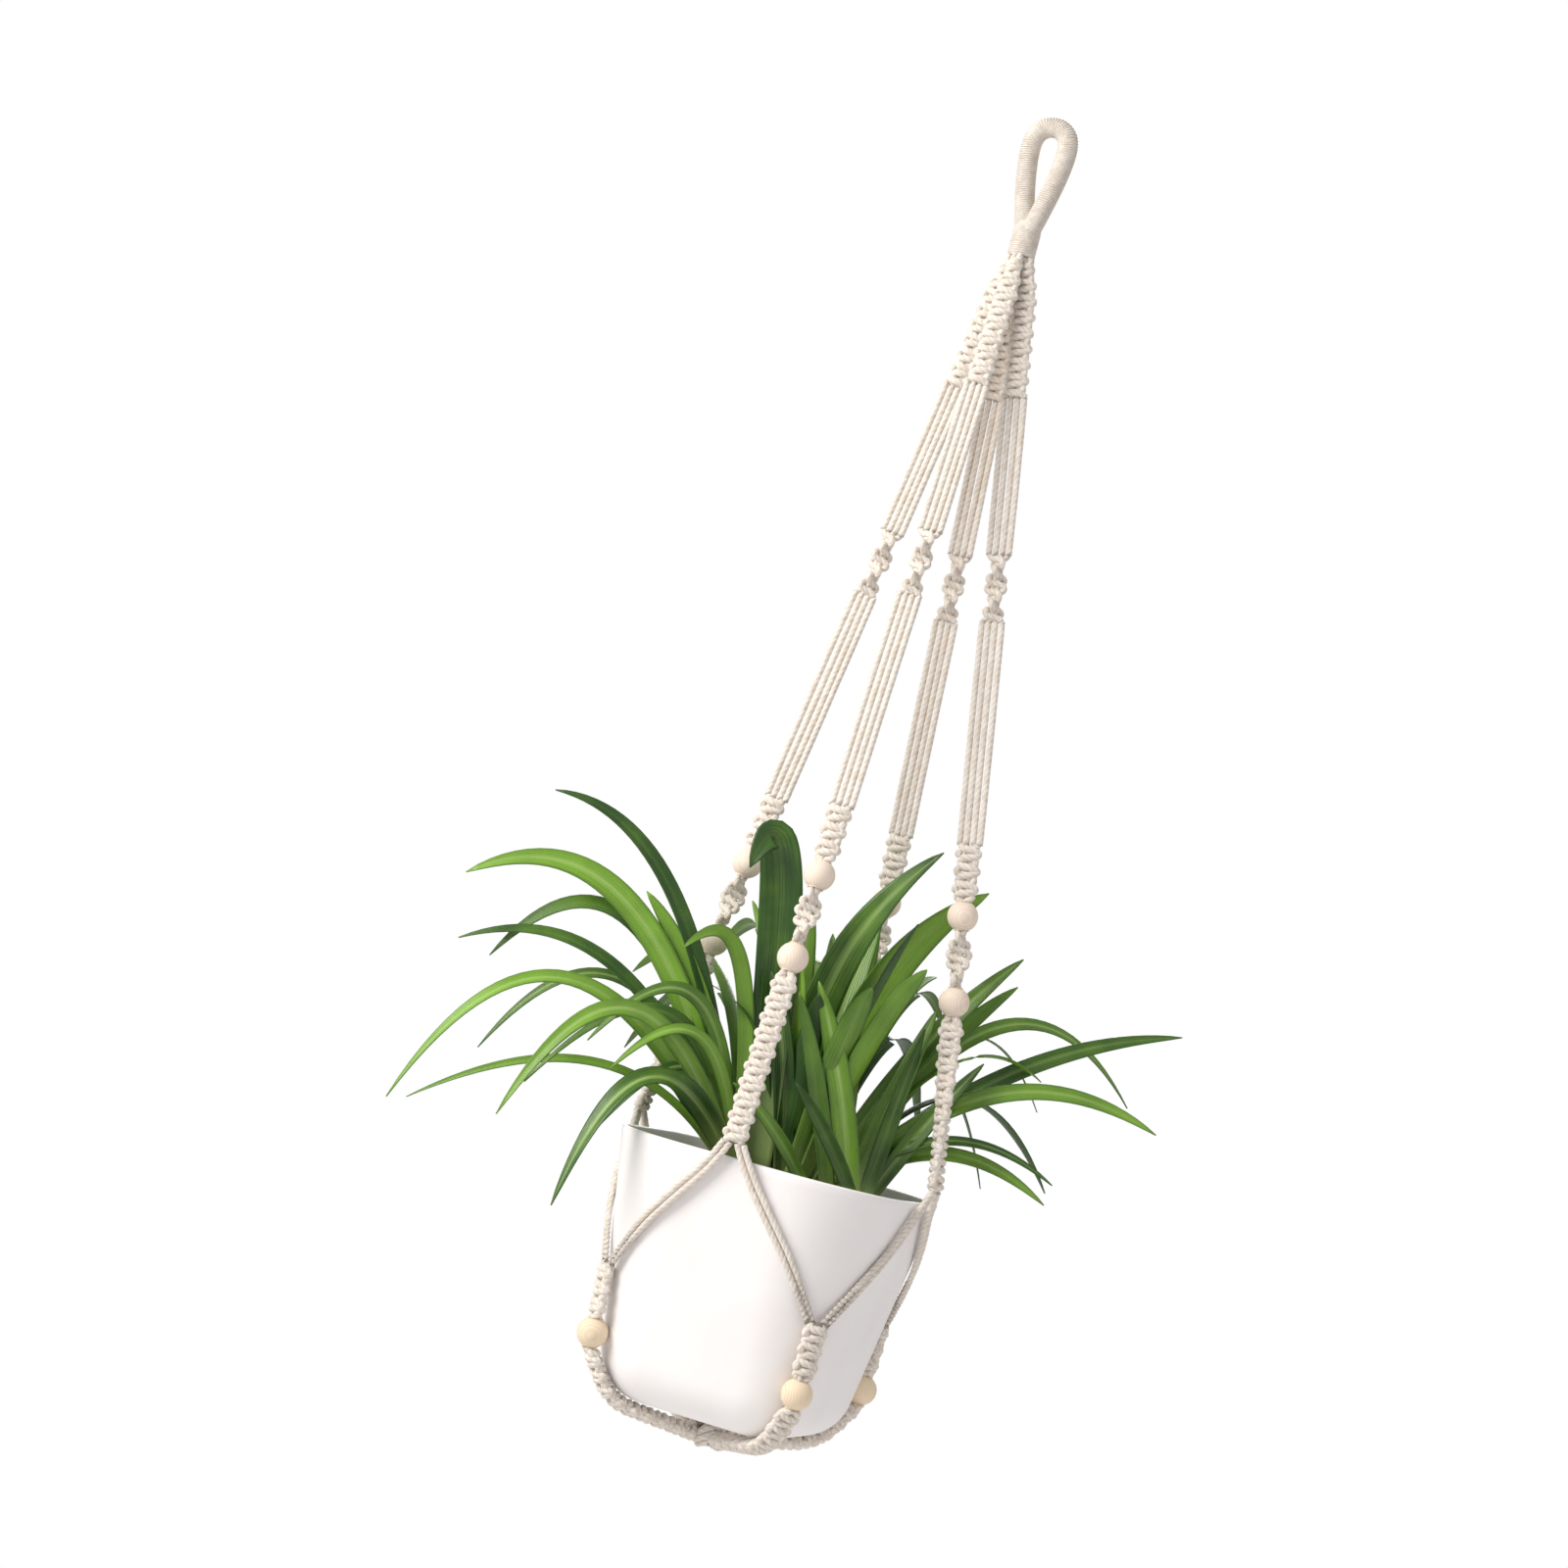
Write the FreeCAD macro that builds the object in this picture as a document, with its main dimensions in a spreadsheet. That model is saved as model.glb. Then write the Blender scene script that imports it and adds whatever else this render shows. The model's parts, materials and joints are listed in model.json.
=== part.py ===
import FreeCAD, Part
import math
import os
import Sketcher

# Hanging macrame planter: a knotted cotton hanger with a square-shouldered white pot and a
# strap-leaved plant.  Millimetres, +Z up, origin at the top inside of the hanging loop, where
# the hook bears.  Everything hangs below it.  The front arm leans towards -Y, the right arm
# towards +X; the corners of the pot lie halfway between the arms.

doc = FreeCAD.newDocument("macrame_planter")

# ---------------------------------------------------------------- driving dimensions

DIMENSIONS = {
    # cotton cord and the knots tied from it
    "cord_diameter": 4.0,
    "sennit_width": 17.5,
    "sennit_thickness": 8.0,
    "running_gap": 0.3,
    "neck_gap": 1.2,
    "cradle_gap": 1.5,
    # hanging loop and neck
    "loop_rope_diameter": 12.5,
    "loop_outer_width": 38.0,
    "loop_leg_end": -60.0,
    "loop_leg_offset": 4.6,
    "neck_diameter": 19.0,
    "neck_pivot_height": -66.5,
    "neck_bottom": -83.0,
    "neck_socket_gap": 0.4,
    # one arm, measured along its own line from the neck down to the pot's rim
    "arm_start_radius": 5.5,
    "arm_end_radius": 104.0,
    "arm_end_height": -689.0,
    "gather_width": 7.0,
    "gather_thickness": 5.0,
    "gather_length": 21.0,
    "top_sennit_length": 94.0,
    "upper_run_length": 106.0,
    "upper_spiral_length": 44.0,
    "lower_run_length": 147.0,
    "bead_sennit_length": 37.0,
    "middle_spiral_length": 37.0,
    # wooden beads
    "bead_diameter": 20.0,
    "bead_length": 18.5,
    "bead_hole_diameter": 9.0,
    "core_diameter": 8.9,
    # pot
    "pot_base_height": -866.0,
    "pot_height": 167.5,
    "pot_base_width": 139.6,
    "pot_base_corner": 38.4,
    "pot_wall_lean": 9.23,
    "pot_base_round": 34.0,
    "pot_wall": 4.0,
    "soil_top_drop": 15.0,
    "soil_slack": 0.4,
    # cradle below the rim
    "cradle_lift": 4.2,
    "cradle_top_drop": 6.0,
    "cradle_fan": 12.0,
    "cradle_pitch": 4.4,
    "cradle_end_rise": 2.0,
    "join_height": -785.0,
    "join_radius": 101.5,
    "corner_sennit_length": 35.0,
    "corner_bead_radius": 99.3,
    "strap_gap": 0.5,
    "knot_diameter": 34.0,
    "knot_thickness": 21.0,
    "knot_round": 7.0,
    "strap_knot_height": -879.0,
    "strap_knot_gap": 1.2,
    "strap_start_gap": 3.2,
    # leaves
    "leaf_thickness": 1.2,
    "leaf_root_width": 6.0,
    "leaf_tip_width": 2.0,
}

sheet = doc.addObject("Spreadsheet::Sheet", "Dims")
for row, (alias, value) in enumerate(DIMENSIONS.items(), start=1):
    sheet.set("A%d" % row, alias.replace("_", " "))
    sheet.set("B%d" % row, str(value))
    sheet.setAlias("B%d" % row, alias)
doc.recompute()


def dim(alias):
    """One driving dimension, read back from the sheet."""
    return float(sheet.get(alias))


def bind(obj, **expressions):
    """Tie properties of an object to expressions on the sheet."""
    for prop, expression in expressions.items():
        obj.setExpression(prop, expression)


nodes = []


def publish(obj, label):
    """Mark an object as one of the planter's own pieces, under the name of its file."""
    obj.Label = label
    nodes.append(obj)
    return obj


# ---------------------------------------------------------------- directions and frames

UP = FreeCAD.Vector(0, 0, 1)
ACROSS = FreeCAD.Vector(1, 0, 0)

ARMS = {"front": 0, "right": 90, "back": 180, "left": 270}
CORNERS = {"front_right": 45, "back_right": 135, "back_left": 225, "front_left": 315}


def outward(azimuth):
    """Horizontal unit vector that points away from the axis; 0 degrees is the front, -Y."""
    turn = math.radians(azimuth)
    return FreeCAD.Vector(math.sin(turn), -math.cos(turn), 0)


def sideways(azimuth):
    """Horizontal unit vector along a face of the pot, a quarter turn on from outward."""
    return outward(azimuth + 90)


def frame(origin, along, across):
    """Placement whose Z runs along one direction and whose X lies nearest to another."""
    return FreeCAD.Placement(origin, FreeCAD.Rotation(across, FreeCAD.Vector(), along, "ZXY"))


def down(distance, offset=0.0, turn=0.0):
    """Step along the Z of a local frame, with a shift along its X and a turn about its Z."""
    spin = FreeCAD.Rotation(FreeCAD.Vector(0, 0, 1), turn)
    return FreeCAD.Placement(FreeCAD.Vector(offset, 0, distance), spin)


# ---------------------------------------------------------------- simple solids

def cylinder(name, diameter, length, placement):
    """Round bar along the Z of a placement; the diameter is an expression on the sheet."""
    bar = doc.addObject("Part::Cylinder", name)
    bind(bar, Radius="(%s) / 2" % diameter)
    bar.Height = length
    bar.Placement = placement
    return bar


def slab(name, length, placement):
    """Straight piece of knotted sennit, centred on the Z of a placement."""
    block = doc.addObject("Part::Box", name)
    bind(block, Length="Dims.sennit_width", Width="Dims.sennit_thickness")
    block.Height = length
    half = FreeCAD.Vector(-dim("sennit_width") / 2, -dim("sennit_thickness") / 2, 0)
    block.Placement = placement.multiply(FreeCAD.Placement(half, FreeCAD.Rotation()))
    return block


def rectangle(name, width, thickness, placement):
    """Closed rectangle centred on a placement, both sides tied to the sheet."""
    sketch = doc.addObject("Sketcher::SketchObject", name)
    corners = [(-1, -1), (1, -1), (1, 1), (-1, 1)]
    points = [FreeCAD.Vector(4 * x, 2 * y, 0) for x, y in corners]
    for start in range(4):
        sketch.addGeometry(Part.LineSegment(points[start], points[(start + 1) % 4]), False)
    for start in range(4):
        sketch.addConstraint(Sketcher.Constraint("Coincident", start, 2, (start + 1) % 4, 1))
    sketch.addConstraint(Sketcher.Constraint("Horizontal", 0))
    sketch.addConstraint(Sketcher.Constraint("Vertical", 1))
    sketch.addConstraint(Sketcher.Constraint("Horizontal", 2))
    sketch.addConstraint(Sketcher.Constraint("Vertical", 3))
    sketch.addConstraint(Sketcher.Constraint("Symmetric", 0, 1, 1, 2, -1, 1))
    across = sketch.addConstraint(Sketcher.Constraint("DistanceX", 0, 1, 0, 2, 8.0))
    sketch.setExpression("Constraints[%d]" % across, width)
    through = sketch.addConstraint(Sketcher.Constraint("DistanceY", 1, 1, 1, 2, 4.0))
    sketch.setExpression("Constraints[%d]" % through, thickness)
    sketch.Placement = placement
    return sketch


def loft(name, sections):
    """Solid with flat-sided skins through a row of sketches."""
    skin = doc.addObject("Part::Loft", name)
    skin.Sections = sections
    skin.Solid = True
    skin.Ruled = True
    return skin


def fuse(name, pieces):
    """One solid from several that run into each other."""
    joined = doc.addObject("Part::MultiFuse", name)
    joined.Shapes = pieces
    return joined


def group(name, pieces):
    """Several separate solids under one name."""
    bundle = doc.addObject("Part::Compound", name)
    bundle.Links = pieces
    return bundle


def bead(name, placement):
    """Drilled wooden ball with flats round its hole, its hole along the placement's Z."""
    ball = doc.addObject("Part::Sphere", name + "_ball")
    bind(ball, Radius="Dims.bead_diameter / 2")
    cap_angle = "asin(Dims.bead_length / Dims.bead_diameter)"
    bind(ball, Angle1="-" + cap_angle, Angle2=cap_angle)
    ball.Placement = placement
    drill = cylinder(name + "_drill", "Dims.bead_hole_diameter", dim("bead_diameter"),
                     placement.multiply(down(-dim("bead_diameter") / 2)))
    drilled = doc.addObject("Part::Cut", name)
    drilled.Base = ball
    drilled.Tool = drill
    return drilled


# ---------------------------------------------------------------- cords along a bent route

def rounded_route(points):
    """Wire of straight runs joined by tangent arcs as large as the runs allow."""
    edges = []
    radii = []
    start = points[0]
    for before, corner, after in zip(points, points[1:], points[2:]):
        towards = (before - corner).normalize()
        away = (after - corner).normalize()
        reach = 0.45 * min((before - corner).Length, (after - corner).Length)
        half_turn = (math.pi - towards.getAngle(away)) / 2
        radius = reach / math.tan(half_turn)
        entry = corner + towards * reach
        leave = corner + away * reach
        centre = corner + (towards + away).normalize() * (radius / math.cos(half_turn))
        middle = centre + (corner - centre).normalize() * radius
        edges.append(Part.LineSegment(start, entry).toShape())
        edges.append(Part.Arc(entry, middle, leave).toShape())
        radii.append(round(radius, 1))
        start = leave
    edges.append(Part.LineSegment(start, points[-1]).toShape())
    return Part.Wire(edges), radii


def tube(points, diameter, label):
    """Round cord along a rounded route; prints its bends and checks its volume."""
    wire, radii = rounded_route(points)
    along = points[1] - points[0]
    ring = Part.Wire([Part.Circle(points[0], along, diameter / 2).toShape()])
    solid = wire.makePipeShell([ring], True, False)
    expected = math.pi * diameter ** 2 / 4 * wire.Length
    ratio = solid.Volume / expected
    print("%s: length %.0f, radii %s, volume ratio %.3f" % (label, wire.Length, radii, ratio))
    return solid


# ---------------------------------------------------------------- hanging loop and neck

# The eye's half outline, from a leg's end up to the crown: shares of half its width, shares
# of the offset between its legs, and shares of the leg's length below the hook.
LOOP_HALF = ((0.36, 1.00, 1.00), (0.74, 0.52, 0.62), (1.04, 0.17, 0.30), (1.05, 0.00, 0.02))
LOOP_SHOULDER = 0.46


def hanging_loop():
    """Rope-thick eye whose two legs come together over the neck, one before the other."""
    rope = dim("loop_rope_diameter")
    side = (dim("loop_outer_width") - rope) / 2
    half = []
    for across, before, below in LOOP_HALF:
        half.append(FreeCAD.Vector(across * side, -before * dim("loop_leg_offset"),
                                   below * dim("loop_leg_end")))
    half.append(FreeCAD.Vector(LOOP_SHOULDER * side, 0, rope / 2))
    mirrored = [FreeCAD.Vector(-p.x, -p.y, p.z) for p in reversed(half)]
    rope_body = doc.addObject("Part::Feature", "loop_rope")
    rope_body.Shape = tube(half + mirrored, rope, "hanging_loop")
    socket = doc.addObject("Part::Sphere", "loop_socket")
    bind(socket, Radius="Dims.neck_diameter / 2 + Dims.neck_socket_gap")
    socket.Placement = FreeCAD.Placement(UP * dim("neck_pivot_height"), FreeCAD.Rotation())
    loop = doc.addObject("Part::Cut", "loop_eye")
    loop.Base = rope_body
    loop.Tool = socket
    publish(loop, "hanging_loop")


def neck_wrap():
    """Binding of wound cord with a domed top, so that the loop can rock on it."""
    bottom = dim("neck_bottom")
    pivot = dim("neck_pivot_height")
    dome = doc.addObject("Part::Sphere", "neck_dome")
    bind(dome, Radius="Dims.neck_diameter / 2")
    dome.Placement = FreeCAD.Placement(UP * pivot, FreeCAD.Rotation())
    barrel = cylinder("neck_barrel", "Dims.neck_diameter", pivot - bottom,
                      FreeCAD.Placement(UP * bottom, FreeCAD.Rotation()))
    publish(fuse("neck_wrap", [dome, barrel]), "neck_wrap")


# ---------------------------------------------------------------- arms

def arm_frame(azimuth):
    """Frame at an arm's top: Z down the taut arm, X across its knots, which face the front."""
    top = outward(azimuth) * dim("arm_start_radius") + UP * dim("neck_bottom")
    end = outward(azimuth) * dim("arm_end_radius") + UP * dim("arm_end_height")
    return frame(top, (end - top).normalize(), ACROSS), (end - top).Length


def plain_cords(name, placement, start, length):
    """Four cords side by side, left unknotted between two sennits."""
    pitch = (dim("sennit_width") - dim("cord_diameter")) / 3
    cords = []
    for place in range(4):
        shift = (place - 1.5) * pitch
        at = placement.multiply(down(start, shift))
        cords.append(cylinder("%s_%d" % (name, place + 1), "Dims.cord_diameter", length, at))
    return group(name, cords)


def top_sennit(name, placement):
    """Flat knotting that starts as a gathered bundle under the neck."""
    gather = dim("gather_length")
    full = ("Dims.sennit_width", "Dims.sennit_thickness")
    sections = [
        rectangle(name + "_gather", "Dims.gather_width", "Dims.gather_thickness",
                  placement.multiply(down(dim("neck_gap")))),
        rectangle(name + "_shoulder", full[0], full[1], placement.multiply(down(gather))),
        rectangle(name + "_foot", full[0], full[1],
                  placement.multiply(down(dim("top_sennit_length")))),
    ]
    return loft(name, sections)


def rim_sennit(name, placement, start, length, turn):
    """Long flat knotting down to the rim; it turns until it lies along the pot's face."""
    if turn == 0:
        return slab(name, length, placement.multiply(down(start)))
    steps = 3
    sections = []
    for step in range(steps + 1):
        share = step / steps
        at = placement.multiply(down(start + share * length, 0.0, share * turn))
        sections.append(rectangle("%s_%d" % (name, step), "Dims.sennit_width",
                                  "Dims.sennit_thickness", at))
    return loft(name, sections)


def arm(side, azimuth):
    """Every piece of one arm, from the neck to the rim."""
    placement, arm_length = arm_frame(azimuth)
    gap = dim("running_gap")
    here = dim("top_sennit_length")
    publish(top_sennit(side + "_top", placement), side + "_top_sennit")

    length = dim("upper_run_length")
    publish(plain_cords(side + "_upper", placement, here, length), side + "_upper_cords")
    here += length

    length = dim("upper_spiral_length")
    spiral = cylinder(side + "_twist", "Dims.sennit_width", length,
                      placement.multiply(down(here)))
    publish(spiral, side + "_upper_spiral")
    here += length

    length = dim("lower_run_length")
    publish(plain_cords(side + "_lower", placement, here, length), side + "_lower_cords")
    here += length

    length = dim("bead_sennit_length")
    publish(slab(side + "_bead_knots", length - gap, placement.multiply(down(here))),
            side + "_bead_sennit")
    here += length

    bead_length = dim("bead_length")
    spiral_length = dim("middle_spiral_length")
    core_start = here - gap
    publish(bead(side + "_bead_one", placement.multiply(down(here + bead_length / 2))),
            side + "_upper_bead")
    here += bead_length
    twist = cylinder(side + "_half_twist", "Dims.sennit_width", spiral_length - 2 * gap,
                     placement.multiply(down(here + gap)))
    core_length = 2 * bead_length + spiral_length + 2 * gap
    core = cylinder(side + "_core", "Dims.core_diameter", core_length,
                    placement.multiply(down(core_start)))
    publish(fuse(side + "_middle", [twist, core]), side + "_middle_spiral")
    here += spiral_length
    publish(bead(side + "_bead_two", placement.multiply(down(here + bead_length / 2))),
            side + "_lower_bead")
    here += bead_length

    turn = 0 if azimuth % 180 == 0 else 90
    publish(rim_sennit(side + "_rim", placement, here + gap, arm_length - here - gap, turn),
            side + "_rim_sennit")


# ---------------------------------------------------------------- pot

def lean():
    """Outward growth of the pot's wall for each unit of height."""
    return math.tan(math.radians(dim("pot_wall_lean")))


def core_half():
    """Half the straight part of a pot side, the same at every height."""
    return dim("pot_base_width") / 2 - dim("pot_base_corner")


def corner_round(height):
    """Radius of the pot's vertical corners at a height in the planter's frame."""
    return dim("pot_base_corner") + lean() * (height - dim("pot_base_height"))


def rounded_square(body, name, width, radius):
    """Sketch of a square with round corners on the ground plane of a body."""
    sketch = body.newObject("Sketcher::SketchObject", name)
    ground = [f for f in body.Origin.OriginFeatures if f.Role == "XY_Plane"][0]
    sketch.AttachmentSupport = [(ground, "")]
    sketch.MapMode = "FlatFace"
    half = 70.0
    bend = 40.0
    flat = half - bend
    sides = [((-flat, -half), (flat, -half)), ((half, -flat), (half, flat)),
             ((flat, half), (-flat, half)), ((-half, flat), (-half, -flat))]
    for (x0, y0), (x1, y1) in sides:
        sketch.addGeometry(Part.LineSegment(FreeCAD.Vector(x0, y0, 0),
                                            FreeCAD.Vector(x1, y1, 0)), False)
    centres = [(flat, -flat, -90), (flat, flat, 0), (-flat, flat, 90), (-flat, -flat, 180)]
    for x, y, begin in centres:
        circle = Part.Circle(FreeCAD.Vector(x, y, 0), UP, bend)
        arc = Part.ArcOfCircle(circle, math.radians(begin), math.radians(begin + 90))
        sketch.addGeometry(arc, False)
    for side in range(4):
        arc = side + 4
        sketch.addConstraint(Sketcher.Constraint("Tangent", side, 2, arc, 1))
        sketch.addConstraint(Sketcher.Constraint("Tangent", arc, 2, (side + 1) % 4, 1))
    sketch.addConstraint(Sketcher.Constraint("Horizontal", 0))
    sketch.addConstraint(Sketcher.Constraint("Vertical", 1))
    sketch.addConstraint(Sketcher.Constraint("Horizontal", 2))
    sketch.addConstraint(Sketcher.Constraint("Vertical", 3))
    for arc in (5, 6, 7):
        sketch.addConstraint(Sketcher.Constraint("Equal", 4, arc))
    sketch.addConstraint(Sketcher.Constraint("Symmetric", 4, 3, 6, 3, -1, 1))
    bend_dim = sketch.addConstraint(Sketcher.Constraint("Radius", 4, bend))
    sketch.setExpression("Constraints[%d]" % bend_dim, radius)
    wide = sketch.addConstraint(Sketcher.Constraint("DistanceX", 3, 1, 1, 1, 2 * half))
    sketch.setExpression("Constraints[%d]" % wide, width)
    tall = sketch.addConstraint(Sketcher.Constraint("DistanceY", 0, 1, 2, 1, 2 * half))
    sketch.setExpression("Constraints[%d]" % tall, width)
    return sketch


def tapered_block(name, width, radius, height, foot_round, base_height):
    """Rounded square that widens upwards, with its bottom edge rounded over."""
    body = doc.addObject("PartDesign::Body", name)
    sketch = rounded_square(body, name + "_outline", width, radius)
    pad = body.newObject("PartDesign::Pad", name + "_pad")
    pad.Profile = sketch
    bind(pad, Length=height, TaperAngle="Dims.pot_wall_lean")
    doc.recompute()
    foot = []
    for number, edge in enumerate(pad.Shape.Edges, start=1):
        if edge.BoundBox.ZMax < 1e-4:
            foot.append("Edge%d" % number)
    fillet = body.newObject("PartDesign::Fillet", name + "_foot")
    fillet.Base = (pad, foot)
    bind(fillet, Radius=foot_round)
    body.Placement = FreeCAD.Placement(UP * base_height, FreeCAD.Rotation())
    return body


def pot():
    """White pot: walls that lean out, soft corners and a well-rounded foot."""
    base = dim("pot_base_height")
    wall = dim("pot_wall")
    outer = tapered_block("pot_outside", "Dims.pot_base_width", "Dims.pot_base_corner",
                          "Dims.pot_height", "Dims.pot_base_round", base)
    # the inside leans like the outside and starts one wall thickness above the base
    step = "(Dims.pot_wall / cos(Dims.pot_wall_lean) - Dims.pot_wall * tan(Dims.pot_wall_lean))"
    inner = tapered_block("pot_inside", "Dims.pot_base_width - 2 * " + step,
                          "Dims.pot_base_corner - " + step,
                          "Dims.pot_height", "Dims.pot_base_round - Dims.pot_wall", base + wall)
    hollow = doc.addObject("Part::Cut", "pot_hollow")
    hollow.Base = outer
    hollow.Tool = inner
    publish(hollow, "pot")
    # the soil fills the inside up to a finger's breadth below the rim
    slack = "Dims.soil_slack"
    depth = "Dims.pot_height - Dims.soil_top_drop - Dims.pot_wall - " + slack
    fill = tapered_block("soil_fill", "Dims.pot_base_width - 2 * (%s + %s)" % (step, slack),
                         "Dims.pot_base_corner - %s - %s" % (step, slack), depth,
                         "Dims.pot_base_round - Dims.pot_wall",
                         base + wall + dim("soil_slack"))
    publish(fill, "soil")


# ---------------------------------------------------------------- cradle below the rim

def on_face(azimuth, side, along, height, lift):
    """Point beside the pot: a distance along from a face's middle, measured on its outside."""
    flat = core_half()
    bend = corner_round(height) + lift
    if along <= flat:
        across, out = along, flat + bend
    else:
        angle = (along - flat) / bend
        across, out = flat + bend * math.sin(angle), flat + bend * math.cos(angle)
    return outward(azimuth) * out + sideways(azimuth) * (side * across) + UP * height


# how far across the face, from its middle to its corner, a cradle cord's points lie
CRADLE_STEPS = (0.0, 0.32, 0.66)


def cradle_cord(azimuth, side, place, label):
    """One cord from the rim sennit's end, down across the face to the corner's join.

    Place 0 is the cord nearer the face's middle and 1 the one nearer the corner.
    """
    pitch = (dim("sennit_width") - dim("cord_diameter")) / 3
    start_across = (0.5 + place) * pitch
    rim = dim("pot_base_height") + dim("pot_height")
    lift = dim("cradle_lift")
    top = rim - dim("cradle_top_drop")
    bottom = dim("join_height") + dim("cradle_end_rise")
    fan = dim("cradle_fan")
    corner_along = core_half() + math.pi / 4 * (corner_round(bottom) + lift)
    # the pair stays side by side: each is half a pitch off the pair's own line
    line = FreeCAD.Vector(corner_along - fan, bottom - top, 0).normalize()
    shift = (place - 0.5) * dim("cradle_pitch")
    points = [outward(azimuth) * dim("arm_end_radius") + sideways(azimuth) * side * start_across
              + UP * (dim("arm_end_height") - dim("cradle_gap"))]
    for share in CRADLE_STEPS:
        along = fan + share * (corner_along - fan) - line.y * shift
        height = top + share * (bottom - top) + line.x * shift
        points.append(on_face(azimuth, side, along, height, lift))
    # at the corner the cords of both faces stand side by side over the corner sennit
    corner_azimuth = azimuth + side * 45
    end_across = (1.5 - place) * pitch
    points.append(outward(corner_azimuth) * dim("join_radius") + UP * bottom
                  - sideways(corner_azimuth) * (side * end_across))
    return tube(points, dim("cord_diameter"), label)


def cradle_cords(side_name, azimuth):
    """The four cords of one arm below the rim, two to each neighbouring corner."""
    cords = []
    for side in (-1, 1):
        for place in (0, 1):
            label = "%s_cradle_%s%d" % (side_name, "left" if side < 0 else "right", place + 1)
            cord = doc.addObject("Part::Feature", label)
            cord.Shape = cradle_cord(azimuth, side, place, label)
            cords.append(cord)
    publish(group(side_name + "_cradle", cords), side_name + "_cradle_cords")


def corner_sennit(corner, azimuth):
    """Flat knotting under the join of two faces' cords, and the core through its bead."""
    bead_length = dim("bead_length")
    gap = dim("running_gap")
    top = outward(azimuth) * dim("join_radius") + UP * dim("join_height")
    run = dim("corner_sennit_length")
    drop = run + bead_length / 2
    inward = dim("join_radius") - dim("corner_bead_radius")
    heading = (outward(azimuth) * -inward - UP * drop).normalize()
    placement = frame(top, heading, sideways(azimuth))
    knots = slab(corner + "_corner_knots", run - gap, placement)
    core = cylinder(corner + "_corner_core", "Dims.core_diameter", bead_length + 2 * gap,
                    placement.multiply(down(run - gap)))
    publish(fuse(corner + "_corner", [knots, core]), corner + "_corner_sennit")
    publish(bead(corner + "_corner_ball", placement.multiply(down(run + bead_length / 2))),
            corner + "_corner_bead")
    end = placement.multVec(FreeCAD.Vector(0, 0, run + bead_length + gap))
    return end.dot(outward(azimuth)), end.z


def tangent_angle(radius, point_radius, point_height, side):
    """Angle below the horizontal at which a line from a point touches a circle at 0, 0."""
    reach = math.hypot(point_radius, point_height)
    return math.atan2(-point_height, point_radius) + side * math.acos(radius / reach)


def base_sennit(corner, azimuth, bead_end):
    """Knotted strap from the bead, round the pot's foot and in under it to the base knot."""
    thickness = dim("sennit_thickness")
    width = dim("sennit_width")
    slope = lean()
    round_radius = dim("pot_base_round")
    # centre of the foot's rounding in the vertical plane of the corner
    wall_at_base = math.sqrt(2) * core_half() + dim("pot_base_corner")
    centre_out = wall_at_base + slope * round_radius - round_radius * math.hypot(1, slope)
    centre_up = dim("pot_base_height") + round_radius
    line_radius = round_radius + dim("strap_gap") + thickness / 2

    knot_edge = dim("knot_diameter") / 2 + dim("strap_knot_gap")
    knot_point = (knot_edge, dim("strap_knot_height"))
    first = tangent_angle(line_radius, bead_end[0] - centre_out, bead_end[1] - centre_up, 1)
    last = tangent_angle(line_radius, knot_point[0] - centre_out, knot_point[1] - centre_up, -1)

    def place(out, height):
        return outward(azimuth) * out + UP * height

    def on_bend(angle):
        return place(centre_out + line_radius * math.cos(angle),
                     centre_up - line_radius * math.sin(angle))

    across = sideways(azimuth)
    touch = on_bend(first)
    below_bead = place(*bead_end)
    start = below_bead + (touch - below_bead).normalize() * dim("strap_start_gap")
    leave = on_bend(last)
    finish = place(*knot_point)
    upper = slab(corner + "_foot_run", (touch - start).Length,
                 frame(start, (touch - start).normalize(), across))
    lower = slab(corner + "_base_run", (finish - leave).Length,
                 frame(leave, (finish - leave).normalize(), across))
    # the bend is a sector of a thick ring whose axis lies along the pot's foot
    centre = place(centre_out, centre_up) - across * (width / 2)
    radial = (touch - place(centre_out, centre_up)).normalize()
    ring_frame = frame(centre, across, radial)
    sweep = math.degrees(last - first)
    follow = ring_frame.Rotation.multVec(FreeCAD.Vector(0, 1, 0))
    if follow.dot(leave - touch) < 0:
        ring_frame = ring_frame.multiply(down(0.0, 0.0, -sweep))
    ring_parts = []
    for name, offset in (("outer", thickness / 2), ("inner", -thickness / 2)):
        disc = doc.addObject("Part::Cylinder", "%s_bend_%s" % (corner, name))
        disc.Radius = line_radius + offset
        bind(disc, Height="Dims.sennit_width")
        disc.Angle = sweep
        disc.Placement = ring_frame
        ring_parts.append(disc)
    bend = doc.addObject("Part::Cut", corner + "_bend")
    bend.Base, bend.Tool = ring_parts
    publish(fuse(corner + "_strap", [upper, bend, lower]), corner + "_base_sennit")


def base_knot():
    """Flat round knot under the pot, where the four straps are tied together."""
    top = dim("pot_base_height") - dim("running_gap")
    thickness = dim("knot_thickness")
    block = cylinder("knot_block", "Dims.knot_diameter", thickness,
                     FreeCAD.Placement(UP * (top - thickness), FreeCAD.Rotation()))
    bind(block, Height="Dims.knot_thickness")
    doc.recompute()
    rims = []
    for number, edge in enumerate(block.Shape.Edges, start=1):
        if isinstance(edge.Curve, Part.Circle):
            rims.append((number, dim("knot_round"), dim("knot_round")))
    knot = doc.addObject("Part::Fillet", "knot_rounded")
    knot.Base = block
    knot.Edges = rims
    publish(knot, "base_knot")


# ---------------------------------------------------------------- plant

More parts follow.
